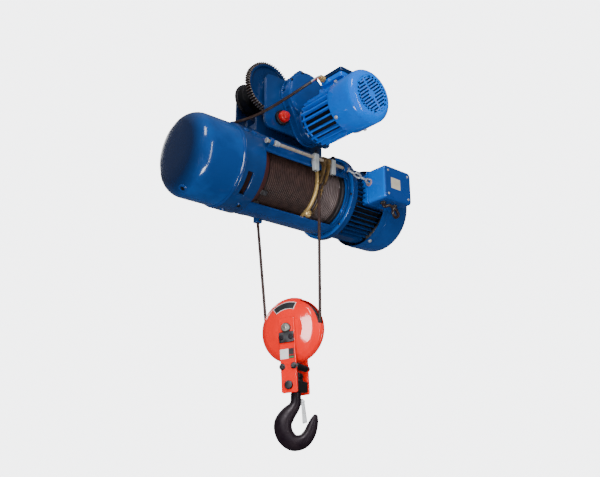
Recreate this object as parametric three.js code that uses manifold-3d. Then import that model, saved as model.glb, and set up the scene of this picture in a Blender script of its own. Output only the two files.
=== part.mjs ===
// Electric wire rope hoist with a motor-driven trolley, two rope falls and a swivel hook.
// Millimetres, +Z up. Origin: where the near left wheel rests on the runway beam's lower flange.
// +X runs along the beam towards the lifting motor, and the trolley's own drive stands on the -Y side.
// Every size below is counted from the middle of the trolley, in the beam's mid plane and at the height
// of the wheel treads; the whole hoist is moved to its origin once, when the scene graph is set up.
import * as THREE from 'three';
import { mergeVertices } from 'three/addons/utils/BufferGeometryUtils.js';
import ManifoldModule from 'manifold-3d';

const wasm = await ManifoldModule();
wasm.setup();

// ---------------------------------------------------------------- driving dimensions
const GAP = 0.3; // between pieces that rest on each other
const RUNNING = 0.7; // radial room between a faceted shaft and its faceted bore
const ROUND = 24; // facets of the large round casings
const SMALL_ROUND = 12; // facets of shafts and bores
const PIN_ROUND = 24; // facets of the larger pins and their bores

const DRUM_AXIS_Z = -228;
const SHELL_LEFT = -160; // drum shell's left end, where the gear casing starts
const SHELL_LENGTH = 333;
const SHELL_R = 123.5;
const SHELL_WALL = 5.5;
// The shell's window: ends from the shell's left end, edges in degrees from -Y towards +Z.
const WINDOW = { left: 4, right: 323, top: 12, bottom: -67 };
const HANGER = { left: -125, right: 140, y: 24, thickness: 10, top: -36 };

const ROPE_D = 6.1;
const ROPE_EXIT_X = 65;
const DRUM_R = 93.8;
const ROPE_CENTRE_R = DRUM_R + ROPE_D / 2;

const CASE_R = 128.5;
const CASE_LENGTH = 70;
const COVER_R = 124.5;
const COVER_LENGTH = 153;
const COVER_ROUNDING = 55;
const COVER_WALL = 5;

const COUNTERSHAFT_DISTANCE = 60; // both countershafts and the drum axis stand on an equilateral triangle
const FIRST_SHAFT_ANGLE = 60; // degrees round the drum axis, from +Y towards +Z
const SECOND_SHAFT_ANGLE = 120;

const FLANGE_R = 137;
const MOTOR_R = 118;
const FAN_COVER_R = 130.7;

const PLATE = { halfLength: 130, bottom: -98, top: 82, inner: 70, outer: 80, corner: 22 };
const CROSS_SHAFT = { x: 65, z: -56, r: 11 };
const WHEEL = { x: 104, treadR: 47, flangeR: 54, inner: 14, shoulder: 40, outer: 47 };
const WHEEL_FACETS = 16;
const WHEEL_GEAR = { teeth: 40, module: 4, inner: 47.5, outer: 65 };
const AXLE_R = 12;

const DRIVE_MOTOR = { x: 26.8, z: -62.2 }; // trolley motor's axis, along -Y
const DRIVE_IDLER = { x: 14.3, z: -11.7 };
const DRIVE_COVER = { x: 3, z: 30, r: 79 };

const BLOCK_YAW = -65; // degrees: the block's X axis points from the fixed fall to the drum's fall
const BLOCK_TILT = -3.4; // the block leans a little, while its hook hangs plumb
const SHEAVE = { pitchR: 86, rimR: 90, z: -685, aboveTrunnion: 161 };
const BLOCK_COVER_R = 97;
const BLOCK_PLATE = { inner: 36, outer: 44, width: 48, top: 191, bottom: -21 };
const HOOK_YAW = -40;

const ROD = { y: -132, z: -178, r: 5, left: -166, right: 158 };
const ANCHOR = { x: -48, y: 60, z: -352 };

// ---------------------------------------------------------------- finishes
const finish = (color, roughness, metalness) =>
  new THREE.MeshStandardMaterial({ color, roughness, metalness });
const paint = (color, roughness = 0.3) => finish(color, roughness, 0);
const metal = (color, roughness = 0.4) => finish(color, roughness, 1);
const BODY_BLUE = 0x0b3f86;
const BRIGHT_BLUE = 0x0f72c8;
const BLOCK_RED = 0xd8331f;
const OXIDE_RED = 0x6e1d14;
const FORGED = 0x1f1a22;
const STEEL = 0x9aa0a6;
const CAST_IRON = 0x6b6f73;
const ZINC = 0xc9ced2;
const CAP_BROWN = 0x5a2018;
const ROPE_BROWN = 0x3a2820;
const BRASS = 0xb58a3c;
const ROD_METAL = 0xa89468;

// ---------------------------------------------------------------- solids
const radians = (degrees) => (degrees * Math.PI) / 180;

// Keeps only positions, joins shared corners, drops triangles that have collapsed and turns faces outwards.
function closedMesh(geometry) {
  const bare = geometry.clone();
  for (const name of ['normal', 'uv']) bare.deleteAttribute(name);
  const merged = mergeVertices(bare, 1e-4);
  const positions = merged.getAttribute('position').array;
  const corners = [...merged.getIndex().array];
  const triangles = [];
  for (let i = 0; i < corners.length; i += 3) {
    const [a, b, c] = corners.slice(i, i + 3);
    if (a !== b && b !== c && c !== a) triangles.push(a, b, c);
  }
  const point = (i) => new THREE.Vector3().fromArray(positions, 3 * i);
  let volume = 0;
  for (let i = 0; i < triangles.length; i += 3) {
    volume += point(triangles[i]).dot(point(triangles[i + 1]).cross(point(triangles[i + 2])));
  }
  if (volume < 0) triangles.reverse();
  return { vertProperties: new Float32Array(positions), triVerts: new Uint32Array(triangles) };
}

const solid = (geometry) => new wasm.Manifold(new wasm.Mesh({ numProp: 3, ...closedMesh(geometry) }));

function indexed(positions, triangles) {
  const geometry = new THREE.BufferGeometry();
  geometry.setAttribute('position', new THREE.BufferAttribute(new Float32Array(positions), 3));
  geometry.setIndex([...triangles]);
  geometry.computeVertexNormals();
  return geometry;
}

function geometryOf(manifold) {
  const mesh = manifold.getMesh();
  return indexed(mesh.vertProperties, mesh.triVerts);
}

const join = (...geometries) => geometryOf(geometries.map(solid).reduce((sum, next) => sum.add(next)));
const cut = (body, ...tools) =>
  geometryOf(tools.map(solid).reduce((rest, tool) => rest.subtract(tool), solid(body)));

// A turned body from [radius, distance along the axis] points. The axis is 'x', 'y' or 'z'.
function turned(points, axis = 'x', facets = ROUND, phase = 0) {
  const profile = points.map(([r, along]) => new THREE.Vector2(r, along));
  const geometry = new THREE.LatheGeometry(profile, facets, phase);
  if (axis === 'x') geometry.rotateZ(-Math.PI / 2);
  if (axis === 'z') geometry.rotateX(Math.PI / 2);
  return geometry;
}

const shaft = (r, from, to, axis = 'x', facets = SMALL_ROUND) =>
  turned([[0, from], [r, from], [r, to], [0, to]], axis, facets);
const tube = (rIn, rOut, from, to, axis = 'x', facets = ROUND) =>
  turned([[rIn, from], [rOut, from], [rOut, to], [rIn, to], [rIn, from]], axis, facets);

// Points of an arc in a turned profile, from one angle to another in degrees.
function arc(centreR, centreAlong, r, from, to, steps) {
  const step = (to - from) / steps;
  return Array.from({ length: steps + 1 }, (_, i) => {
    const a = radians(from + i * step);
    return [centreR + r * Math.cos(a), centreAlong + r * Math.sin(a)];
  });
}

const block = (x, y, z) =>
  new THREE.BoxGeometry(x[1] - x[0], y[1] - y[0], z[1] - z[0]).translate(
    (x[0] + x[1]) / 2, (y[0] + y[1]) / 2, (z[0] + z[1]) / 2);

function outline(points) {
  return new THREE.Shape(points.map(([a, b]) => new THREE.Vector2(a, b)));
}

// Extrudes an outline given in X and Z along Y, from the lower to the higher Y.
function slabAlongY(shape, from, to, curveSegments = 2) {
  const options = { depth: to - from, bevelEnabled: false, curveSegments };
  return new THREE.ExtrudeGeometry(shape, options).rotateX(Math.PI / 2).translate(0, to, 0);
}

// Extrudes an outline given in Y and Z along X.
function slabAlongX(shape, from, to, curveSegments = 2) {
  const options = { depth: to - from, bevelEnabled: false, curveSegments };
  const toYZ = new THREE.Matrix4().set(0, 0, 1, from, 1, 0, 0, 0, 0, 1, 0, 0, 0, 0, 0, 1);
  return new THREE.ExtrudeGeometry(shape, options).applyMatrix4(toYZ);
}

function roundedRectangle(left, right, bottom, top, r) {
  const shape = new THREE.Shape();
  shape.moveTo(left + r, bottom);
  shape.lineTo(right - r, bottom).absarc(right - r, bottom + r, r, -Math.PI / 2, 0, false);
  shape.lineTo(right, top - r).absarc(right - r, top - r, r, 0, Math.PI / 2, false);
  shape.lineTo(left + r, top).absarc(left + r, top - r, r, Math.PI / 2, Math.PI, false);
  shape.lineTo(left, bottom + r).absarc(left + r, bottom + r, r, Math.PI, 1.5 * Math.PI, false);
  return shape;
}

// Spur gear outline: stub involute teeth at 25 degrees with backlash, each flank one chord of its involute.
const PRESSURE_ANGLE = radians(25);
const BACKLASH = 0.35;
const involute = (angle) => Math.tan(angle) - angle;
const gearRadius = (teeth, module) => (teeth * module) / 2;

function gearOutline(teeth, module, toothAt = 0) {
  const pitchR = gearRadius(teeth, module);
  const baseR = pitchR * Math.cos(PRESSURE_ANGLE);
  const tipR = pitchR + 0.8 * module;
  const rootR = pitchR - module;
  const halfTooth = Math.PI / (2 * teeth) - BACKLASH / (2 * pitchR) + involute(PRESSURE_ANGLE);
  const halfAngle = (r) => halfTooth - involute(Math.acos(Math.min(1, baseR / r)));
  const points = [];
  for (let tooth = 0; tooth < teeth; tooth += 1) {
    const middle = toothAt + (2 * Math.PI * tooth) / teeth;
    const corner = (r, side) => points.push([
      r * Math.cos(middle + side * halfAngle(r)), r * Math.sin(middle + side * halfAngle(r))]);
    corner(rootR, -1);
    corner(tipR, -1);
    corner(tipR, 1);
    corner(rootR, 1);
  }
  return points;
}

// Angle at which the second gear's tooth must stand so that its gap faces the first gear's tooth.
const meshingTooth = (directionToSecond, teeth) => directionToSecond + Math.PI + Math.PI / teeth;

// Gears along X use an outline in Y and Z; gears along Y use one in X and Z.
function gearAlongX(teeth, module, toothAt, from, to) {
  return slabAlongX(outline(gearOutline(teeth, module, toothAt)), from, to);
}
function gearAlongY(teeth, module, toothAt, from, to) {
  return slabAlongY(outline(gearOutline(teeth, module, toothAt)), from, to);
}

// Skin over rings of equal point count, closed by a fan at each end.
function skinned(rings) {
  const count = rings[0].length;
  const centre = (ring) => ring.reduce((s, p) => s.add(p), new THREE.Vector3()).divideScalar(count);
  const points = [...rings.flat(), centre(rings[0]), centre(rings[rings.length - 1])];
  const first = rings.length * count;
  const index = [];
  for (let i = 0; i < count; i += 1) {
    const next = (i + 1) % count;
    index.push(first, next, i);
    index.push(first + 1, first - count + i, first - count + next);
    for (let ring = 0; ring < rings.length - 1; ring += 1) {
      const low = ring * count;
      const high = low + count;
      index.push(low + i, low + next, high + next, low + i, high + next, high + i);
    }
  }
  const geometry = new THREE.BufferGeometry().setFromPoints(points);
  geometry.setIndex(index);
  geometry.computeVertexNormals();
  return geometry;
}

// ---------------------------------------------------------------- scene graph
const hoist = new THREE.Group();
hoist.position.set(WHEEL.x, (WHEEL.inner + WHEEL.shoulder) / 2, 0);
const drumAxis = new THREE.Group(); // children are placed along the drum axis, X as in the whole hoist
drumAxis.position.z = DRUM_AXIS_Z;
hoist.add(drumAxis);

function piece(parent, name, shape, material) {
  const { vertProperties, triVerts } = closedMesh(shape);
  const mesh = new THREE.Mesh(indexed(vertProperties, triVerts), material);
  mesh.name = name;
  parent.add(mesh);
  return mesh;
}

// ---------------------------------------------------------------- drum shell, hangers, rod brackets
const SHELL_RIGHT = SHELL_LEFT + SHELL_LENGTH;
const rodZ = ROD.z - DRUM_AXIS_Z;

function sectorAlongX(fromAngle, toAngle, reach, from, to) {
  const at = (angle, r) => [-r * Math.cos(radians(angle)), r * Math.sin(radians(angle))];
  const middle = (fromAngle + toAngle) / 2;
  const points = [[0, 0], at(fromAngle, reach), at(middle, reach * 1.3), at(toAngle, reach)];
  return slabAlongX(outline(points), from, to);
}

function hangerPlate(y) {
  const bottom = DRUM_AXIS_Z + Math.sqrt(SHELL_R ** 2 - HANGER.y ** 2) - 3;
  const [low, high] = [bottom - DRUM_AXIS_Z, HANGER.top - DRUM_AXIS_Z];
  const shape = roundedRectangle(HANGER.left, HANGER.right, low, high, 3);
  const half = HANGER.thickness / 2;
  const plate = slabAlongY(shape, y - half, y + half);
  const z = CROSS_SHAFT.z - DRUM_AXIS_Z;
  const holes = [-1, 1].map((side) =>
    shaft(CROSS_SHAFT.r + GAP, y - 2 * half, y + 2 * half, 'y').translate(side * CROSS_SHAFT.x, 0, z));
  return cut(plate, ...holes);
}

const ROD_BRACKET = { thickness: 10, height: 18, pastRod: 10, intoShell: 1.5 };
function rodBracket(x) {
  const { thickness, height, pastRod, intoShell } = ROD_BRACKET;
  const angle = Math.atan2(rodZ, -ROD.y);
  const reach = Math.hypot(ROD.y, rodZ) + pastRod;
  const arm = block(
    [x - thickness / 2, x + thickness / 2], [-reach, intoShell - SHELL_R], [-height / 2, height / 2]);
  arm.rotateX(-angle);
  const hole = shaft(ROD.r + RUNNING, x - thickness, x + thickness).translate(0, ROD.y, rodZ);
  return cut(arm, hole);
}

function drumShell() {
  const body = tube(SHELL_R - SHELL_WALL, SHELL_R, SHELL_LEFT + GAP, SHELL_RIGHT - GAP);
  const window = sectorAlongX(
    WINDOW.bottom, WINDOW.top, 150, SHELL_LEFT + WINDOW.left, SHELL_LEFT + WINDOW.right);
  const hangers = [hangerPlate(-HANGER.y), hangerPlate(HANGER.y)];
  return join(cut(body, window), ...hangers, rodBracket(ROD.left + 17), rodBracket(ROD.right - 18));
}
piece(drumAxis, 'drum_shell', drumShell(), paint(BODY_BLUE));

// ---------------------------------------------------------------- gear casing
const CASE_LEFT = SHELL_LEFT - CASE_LENGTH;
const BULKHEAD = [CASE_LEFT + 4, CASE_LEFT + 14];
const FRONT_PLATE = [CASE_LEFT - 128, CASE_LEFT - 120];
const OUTPUT_SHAFT_R = 24;
const MIDDLE_SHAFT_R = 9;
const JOURNAL_R = 6;
const pillarAngles = [200, 270, 340];

// Y and Z of a point round the drum axis.
const around = (r, degrees) => [r * Math.cos(radians(degrees)), r * Math.sin(radians(degrees))];
const firstShaft = around(COUNTERSHAFT_DISTANCE, FIRST_SHAFT_ANGLE);
const secondShaft = around(COUNTERSHAFT_DISTANCE, SECOND_SHAFT_ANGLE);
const atYZ = (geometry, [y, z]) => geometry.translate(0, y, z);

function gearboxCase() {
  const ring = tube(CASE_R - 9, CASE_R, CASE_LEFT, SHELL_LEFT);
  const wall = shaft(CASE_R - 6, BULKHEAD[0], BULKHEAD[1], 'x', ROUND);
  const long = [BULKHEAD[0] - 5, BULKHEAD[1] + 5];
  const shaftHole = shaft(OUTPUT_SHAFT_R + RUNNING, ...long, 'x', 24);
  const journals = [firstShaft, secondShaft].map((p) => atYZ(shaft(JOURNAL_R + RUNNING, ...long), p));
  const slot = sectorAlongX(-58, -25, 160, CASE_LEFT + 17, CASE_LEFT + 35);
  return cut(join(ring, wall), shaftHole, ...journals, slot);
}
piece(drumAxis, 'gearbox_case', gearboxCase(), paint(BODY_BLUE));

function gearboxCover() {
  const left = CASE_LEFT - COVER_LENGTH;
  const right = CASE_LEFT - GAP;
  const centreR = COVER_R - COVER_ROUNDING;
  const centreX = left + COVER_ROUNDING;
  const inner = COVER_ROUNDING - COVER_WALL;
  return turned([
    [0, left], ...arc(centreR, centreX, COVER_ROUNDING, -90, 0, 4), [COVER_R, right],
    [COVER_R - COVER_WALL, right], ...arc(centreR, centreX, inner, 0, -90, 4), [0, left + COVER_WALL]]);
}
piece(drumAxis, 'gearbox_cover', gearboxCover(), paint(BODY_BLUE));

function bearingPlate() {
  const disc = shaft(96, FRONT_PLATE[0], FRONT_PLATE[1], 'x', ROUND);
  const pillars = pillarAngles.map((angle) =>
    atYZ(shaft(8, FRONT_PLATE[1] - 2, BULKHEAD[0] - GAP, 'x', 8), around(85, angle)));
  const hole = (p) => atYZ(shaft(JOURNAL_R + RUNNING, FRONT_PLATE[0] - 5, FRONT_PLATE[1] + 5), p);
  return cut(join(disc, ...pillars), hole([0, 0]), hole(firstShaft), hole(secondShaft));
}
piece(drumAxis, 'bearing_plate', bearingPlate(), metal(CAST_IRON, 0.6));

// Three reductions of 5 : 1, 3.8 : 1 and 3 : 1 between the motor's shaft and the drum.
const TRAIN = {
  input: { teeth: 10, module: 2 }, first: { teeth: 50, module: 2 },
  firstPinion: { teeth: 10, module: 2.5 }, second: { teeth: 38, module: 2.5 },
  secondPinion: { teeth: 10, module: 3 }, output: { teeth: 30, module: 3 },
};
const STAGE_1 = [CASE_LEFT - 114, CASE_LEFT - 100];
const STAGE_2 = [CASE_LEFT - 92, CASE_LEFT - 70];
const STAGE_3 = [CASE_LEFT - 62, CASE_LEFT - 28];
const toFirst = radians(FIRST_SHAFT_ANGLE);
const toSecond = radians(SECOND_SHAFT_ANGLE);
const firstToSecond = Math.atan2(secondShaft[1] - firstShaft[1], secondShaft[0] - firstShaft[0]);
const COUPLING_MIDDLE = SHELL_RIGHT + 21;

function trainGear({ teeth, module }, toothAt, span, margin = 0) {
  return gearAlongX(teeth, module, toothAt, span[0] - margin, span[1] + margin);
}

function middleShaft() {
  const journal = shaft(JOURNAL_R, FRONT_PLATE[0] - 3, STAGE_1[0]);
  const pinion = trainGear(TRAIN.input, toFirst, STAGE_1, 1.5);
  const body = shaft(MIDDLE_SHAFT_R, STAGE_1[1] + 1, COUPLING_MIDDLE - 1);
  return join(journal, pinion, body);
}
piece(drumAxis, 'middle_shaft', middleShaft(), metal(STEEL));

const WHEEL_BORE_R = 8.4;
function bigGear(gear, toothAt, span) {
  return cut(trainGear(gear, toothAt, span), shaft(WHEEL_BORE_R, span[0] - 2, span[1] + 2));
}
const firstTooth = meshingTooth(toFirst, TRAIN.first.teeth);
piece(drumAxis, 'first_gear', atYZ(bigGear(TRAIN.first, firstTooth, STAGE_1), firstShaft), metal(STEEL));

function countershaft(pinion, toothAt, span, gearSpan) {
  const seat = shaft(WHEEL_BORE_R - GAP, gearSpan[0], gearSpan[1]);
  const low = shaft(JOURNAL_R, FRONT_PLATE[0] - 3, gearSpan[0] + 1);
  const high = shaft(JOURNAL_R, gearSpan[1] - 1, BULKHEAD[1] - 1);
  return join(low, seat, high, trainGear(pinion, toothAt, span));
}
const firstPinionSpan = [STAGE_1[1] + GAP, STAGE_2[1]];
const firstPinion = countershaft(TRAIN.firstPinion, firstToSecond, firstPinionSpan, STAGE_1);
piece(drumAxis, 'first_pinion_shaft', atYZ(firstPinion, firstShaft), metal(STEEL));

const secondTooth = meshingTooth(firstToSecond, TRAIN.second.teeth);
const secondGear = bigGear(TRAIN.second, secondTooth, STAGE_2);
piece(drumAxis, 'second_gear', atYZ(secondGear, secondShaft), metal(STEEL));
const towardsDrum = toSecond + Math.PI;
const secondPinion = countershaft(TRAIN.secondPinion, towardsDrum, [STAGE_2[1] + GAP, STAGE_3[1]], STAGE_2);
piece(drumAxis, 'second_pinion_shaft', atYZ(secondPinion, secondShaft), metal(STEEL));

function outputGear() {
  const toothAt = meshingTooth(towardsDrum, TRAIN.output.teeth);
  const bore = shaft(OUTPUT_SHAFT_R + GAP, STAGE_3[0] - 2, STAGE_3[1] + 2, 'x', 24);
  return cut(trainGear(TRAIN.output, toothAt, STAGE_3), bore);
}
piece(drumAxis, 'output_gear', outputGear(), metal(STEEL));

// ---------------------------------------------------------------- drum
const DRUM = {
  left: SHELL_LEFT - 50, barrelLeft: SHELL_LEFT + 30, barrelRight: SHELL_LEFT + 316,
  right: SHELL_LEFT + 328, flangeR: 110, endR: 106 };
const OUTPUT_SHAFT = [STAGE_3[0], DRUM.left + 14];
piece(drumAxis, 'output_shaft',
  tube(MIDDLE_SHAFT_R + 3, OUTPUT_SHAFT_R, ...OUTPUT_SHAFT, 'x', 24), metal(STEEL));

const DRUM_BEARING = { inner: 34, outer: 49, left: SHELL_LEFT + 310, right: SHELL_LEFT + 326 };
const DRUM_WALL = 7;
function drumBody() {
  const webLeft = DRUM.left + 10;
  return turned([
    [OUTPUT_SHAFT_R + GAP, DRUM.left], [DRUM.flangeR, DRUM.left], [DRUM.flangeR, DRUM.barrelLeft],
    [DRUM_R, DRUM.barrelLeft], [DRUM_R, DRUM.barrelRight], [DRUM.endR, DRUM.barrelRight],
    [DRUM.endR, DRUM.right],
    [DRUM_BEARING.outer + GAP, DRUM.right], [DRUM_BEARING.outer + GAP, DRUM_BEARING.left],
    [DRUM_R - DRUM_WALL, DRUM_BEARING.left], [DRUM_R - DRUM_WALL, webLeft],
    [OUTPUT_SHAFT_R + GAP, webLeft], [OUTPUT_SHAFT_R + GAP, DRUM.left]]);
}
piece(drumAxis, 'drum', drumBody(), paint(OXIDE_RED, 0.6));

piece(drumAxis, 'wound_rope',
  tube(DRUM_R + GAP, DRUM_R + ROPE_D, DRUM.barrelLeft + 2, ROPE_EXIT_X - 6), metal(ROPE_BROWN, 0.7));

const bearingSpan = [DRUM_BEARING.left + 1, DRUM_BEARING.right];
piece(drumAxis, 'drum_bearing',
  tube(DRUM_BEARING.inner + RUNNING, DRUM_BEARING.outer, ...bearingSpan), metal(STEEL));

// ---------------------------------------------------------------- lifting motor
const FLANGE = [SHELL_RIGHT, SHELL_RIGHT + 22];
const FRAME = [FLANGE[1] + GAP, SHELL_RIGHT + 157];
const STACK = [SHELL_RIGHT + 45, SHELL_RIGHT + 129];
const FAN_COVER = [FRAME[1] - 8, SHELL_RIGHT + 277];
const ROTOR_BORE_R = 61;

function motorFlange() {
  const disc = shaft(FLANGE_R, FLANGE[0], FLANGE[1], 'x', ROUND);
  const nose = shaft(DRUM_BEARING.inner, DRUM_BEARING.left - 4, FLANGE[0] + 2, 'x', ROUND);
  const bore = shaft(26, DRUM_BEARING.left - 8, FLANGE[1] + 2);
  return cut(join(disc, nose), bore);
}
piece(drumAxis, 'motor_flange', motorFlange(), paint(BODY_BLUE));

// Finned outline: tips and roots take turns round the circle.
function finOutline(fins, tipR, rootR) {
  const points = [];
  for (let i = 0; i < fins; i += 1) {
    const a = (2 * Math.PI * i) / fins;
    const step = (2 * Math.PI) / fins;
    for (const [r, share] of [[rootR, -0.28], [tipR, -0.16], [tipR, 0.16], [rootR, 0.28]]) {
      points.push([r * Math.cos(a + share * step), r * Math.sin(a + share * step)]);
    }
  }
  return points;
}

function motorFrame() {
  const fins = slabAlongX(outline(finOutline(24, MOTOR_R, MOTOR_R - 13)), ...FRAME);
  const cavity = shaft(MOTOR_R - 25, FRAME[0] - 2, FRAME[1] - 9, 'x', ROUND);
  const bearingBore = shaft(14, FRAME[0] - 2, FRAME[1] + 2);
  return cut(fins, cavity, bearingBore);
}
piece(drumAxis, 'motor_frame', motorFrame(), paint(BODY_BLUE));
piece(drumAxis, 'stator', tube(ROTOR_BORE_R, MOTOR_R - 26, ...STACK, 'x', 24), metal(CAST_IRON, 0.6));

function rotor() {
  const core = ROTOR_BORE_R - 2;
  return turned([
    [0, COUPLING_MIDDLE + 1], [MIDDLE_SHAFT_R, COUPLING_MIDDLE + 1], [MIDDLE_SHAFT_R, STACK[0] - 10],
    [13, STACK[0] - 10], [13, STACK[0] + 2], [core, STACK[0] + 2], [core, STACK[1] - 2],
    [13, STACK[1] - 2], [13, FAN_COVER[1] - 70], [0, FAN_COVER[1] - 70]], 'x', 24);
}
piece(drumAxis, 'rotor', rotor(), metal(STEEL));
piece(drumAxis, 'coupling',
  tube(MIDDLE_SHAFT_R + GAP, 22, COUPLING_MIDDLE - 18, COUPLING_MIDDLE + 9, 'x', 16), metal(STEEL));

function fanCover() {
  const rounding = 36;
  const wall = 2.5;
  const [left, right] = FAN_COVER;
  const centreR = FAN_COVER_R - rounding;
  const centreX = right - rounding;
  const shell = turned([
    [0, right], ...arc(centreR, centreX, rounding, 90, 0, 3), [FAN_COVER_R, left],
    [FAN_COVER_R - wall, left], ...arc(centreR, centreX, rounding - wall, 0, 90, 3), [0, right - wall]]);
  const vents = [-40, 0, 40].map((z) => {
    const half = Math.sqrt(70 ** 2 - z ** 2);
    return block([right - 10, right + 5], [-half, half], [z - 10, z + 10]);
  });
  return cut(shell, ...vents);
}
piece(drumAxis, 'fan_cover', fanCover(), paint(BODY_BLUE));

function brakeFan() {
  const disc = [FRAME[1] + 26, FRAME[1] + 34];
  const wheel = tube(13 + GAP, 104, ...disc, 'x', 24);
  const blades = Array.from({ length: 6 }, (_, i) =>
    block([disc[1] - 1, disc[1] + 18], [-1.5, 1.5], [30, 98]).rotateX((Math.PI * i) / 3));
  return join(wheel, ...blades);
}
piece(drumAxis, 'brake_fan', brakeFan(), metal(CAST_IRON, 0.5));

// ---------------------------------------------------------------- rope guide, limit rod and its stops
const GUIDE = { inner: 103, outer: 110, left: ROPE_EXIT_X - 19, right: ROPE_EXIT_X + 10 };

// Side view of the arm from the ring up and round the rod, [Y, Z] from the drum axis.
const GUIDE_ARM = [
  [-104, -14], [-140, -6], [-147, 40], [-147, 62], [-122, 62], [-127, 32], [-120, 12], [-104, 8]];

function ropeGuide() {
  const ring = tube(GUIDE.inner, GUIDE.outer, GUIDE.left, GUIDE.right);
  const armBody = slabAlongX(outline(GUIDE_ARM), GUIDE.left + 4, GUIDE.right);
  const rodHole = shaft(ROD.r + 2.5, GUIDE.left, GUIDE.right + 4).translate(0, ROD.y, rodZ);
  const ropeSlot = block([ROPE_EXIT_X - 7, ROPE_EXIT_X + 6], [-114, -90], [-80, -16]);
  return cut(join(ring, armBody), rodHole, ropeSlot);
}
piece(drumAxis, 'rope_guide', ropeGuide(), metal(BRASS, 0.35));

const atRod = (geometry) => geometry.translate(0, ROD.y, rodZ);
piece(drumAxis, 'limit_rod', atRod(shaft(ROD.r, ROD.left, ROD.right, 'x', 12)), metal(ROD_METAL, 0.35));

function stopCollar(from, to) {
  const body = block([from, to], [-8, 9], [-26, 12]);
  return atRod(cut(body, shaft(ROD.r + GAP, from - 2, to + 2, 'x', 12)));
}
const COLLARS = { left: [11.5, 30], right: [92.5, 110] };
piece(drumAxis, 'stop_collar_left', stopCollar(...COLLARS.left), metal(ZINC, 0.3));
piece(drumAxis, 'stop_collar_right', stopCollar(...COLLARS.right), metal(ZINC, 0.3));

// ---------------------------------------------------------------- limit switch box and its chain
const SWITCH_BOX = { x: [239, 358], y: [-205, -106], z: [-279, -161], wall: 3 };
const CHAIN_END = { x: SWITCH_BOX.x[0] + 14, y: -140, z: -200 };

function switchBox() {
  const { x, y, z, wall } = SWITCH_BOX;
  const outer = block(x, y, z);
  const hollow = block([x[0] + wall, x[1] - wall], [y[0] + wall, y[1] + 10], [z[0] + wall, z[1] - wall]);
  const saddle = shaft(MOTOR_R + 2, x[0] - 5, FAN_COVER[0] - 1, 'x', ROUND).translate(0, 0, DRUM_AXIS_Z);
  const coverSaddle = shaft(FAN_COVER_R + 2, FAN_COVER[0] - 3, x[1] + 5, 'x', ROUND);
  coverSaddle.translate(0, 0, DRUM_AXIS_Z);
  const chainHole = shaft(10, x[0] - 5, x[0] + 8, 'x', 12).translate(0, CHAIN_END.y, CHAIN_END.z);
  return cut(outer, hollow, saddle, coverSaddle, chainHole);
}
piece(hoist, 'limit_switch_box', switchBox(), paint(BRIGHT_BLUE));

function chain() {
  const start = new THREE.Vector3(ROD.right + 1.5, ROD.y, ROD.z);
  const end = new THREE.Vector3(CHAIN_END.x, CHAIN_END.y, CHAIN_END.z);
  const sag = start.clone().lerp(end, 0.5).add(new THREE.Vector3(0, 0, -5));
  const section = outline(Array.from({ length: 8 }, (_, i) => around(3.6, 45 * i)));
  const extrudePath = new THREE.QuadraticBezierCurve3(start, sag, end);
  return new THREE.ExtrudeGeometry(section, { steps: 8, bevelEnabled: false, extrudePath });
}
piece(hoist, 'limit_chain', chain(), metal(ZINC, 0.35));

// ---------------------------------------------------------------- trolley
const plateShape = () =>
  roundedRectangle(-PLATE.halfLength, PLATE.halfLength, PLATE.bottom, PLATE.top, PLATE.corner);

// A side plate with its two wheel axles pressed in. side is -1 for the driven side.
function sidePlate(side, extraHoles) {
  const span = side < 0 ? [-PLATE.outer, -PLATE.inner] : [PLATE.inner, PLATE.outer];
  const long = [span[0] - 4, span[1] + 4];
  const axleSpan = side < 0 ? [-PLATE.inner - 2, -WHEEL.inner - 2] : [WHEEL.inner + 2, PLATE.inner + 2];
  const holes = [-1, 1].map((end) =>
    shaft(CROSS_SHAFT.r + GAP, ...long, 'y').translate(end * CROSS_SHAFT.x, 0, CROSS_SHAFT.z));
  const axles = [-1, 1].map((end) =>
    shaft(AXLE_R, ...axleSpan, 'y').translate(end * WHEEL.x, 0, WHEEL.treadR));
  return join(cut(slabAlongY(plateShape(), ...span), ...holes, ...extraHoles(long)), ...axles);
}
const atXZ = (geometry, { x, z }) => geometry.translate(x, 0, z);
const DRIVE_AXIS = { x: 0, z: WHEEL.treadR };
const driveHoles = (long) => [
  atXZ(shaft(14 + RUNNING, ...long, 'y'), DRIVE_AXIS),
  atXZ(shaft(7 + RUNNING, ...long, 'y'), DRIVE_IDLER)];
piece(hoist, 'near_side_plate', sidePlate(-1, driveHoles), paint(BODY_BLUE));
piece(hoist, 'far_side_plate', sidePlate(1, () => []), paint(BODY_BLUE));

// A shaft through both side plates and both hangers, held by a cap with a washer rim and by a nut.
function crossShaft(x, capR, rimR) {
  const end = PLATE.outer + GAP;
  const capLength = 20;
  const nutLength = 14;
  const near = [-end - capLength, -end];
  const profile = [
    [0, near[0]], [capR - 2, near[0]], [capR, near[0] + 2], [capR, near[1] - 6], [rimR, near[1] - 6],
    [rimR, near[1]], [CROSS_SHAFT.r, near[1]], [CROSS_SHAFT.r, end], [17, end], [17, end + nutLength],
    [0, end + nutLength]];
  return turned(profile, 'y', SMALL_ROUND).translate(x, 0, CROSS_SHAFT.z);
}
piece(hoist, 'cross_shaft_left', crossShaft(-CROSS_SHAFT.x, 14, 17), metal(CAP_BROWN, 0.5));
piece(hoist, 'cross_shaft_right', crossShaft(CROSS_SHAFT.x, 13, 14.5), metal(CAP_BROWN, 0.5));

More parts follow.
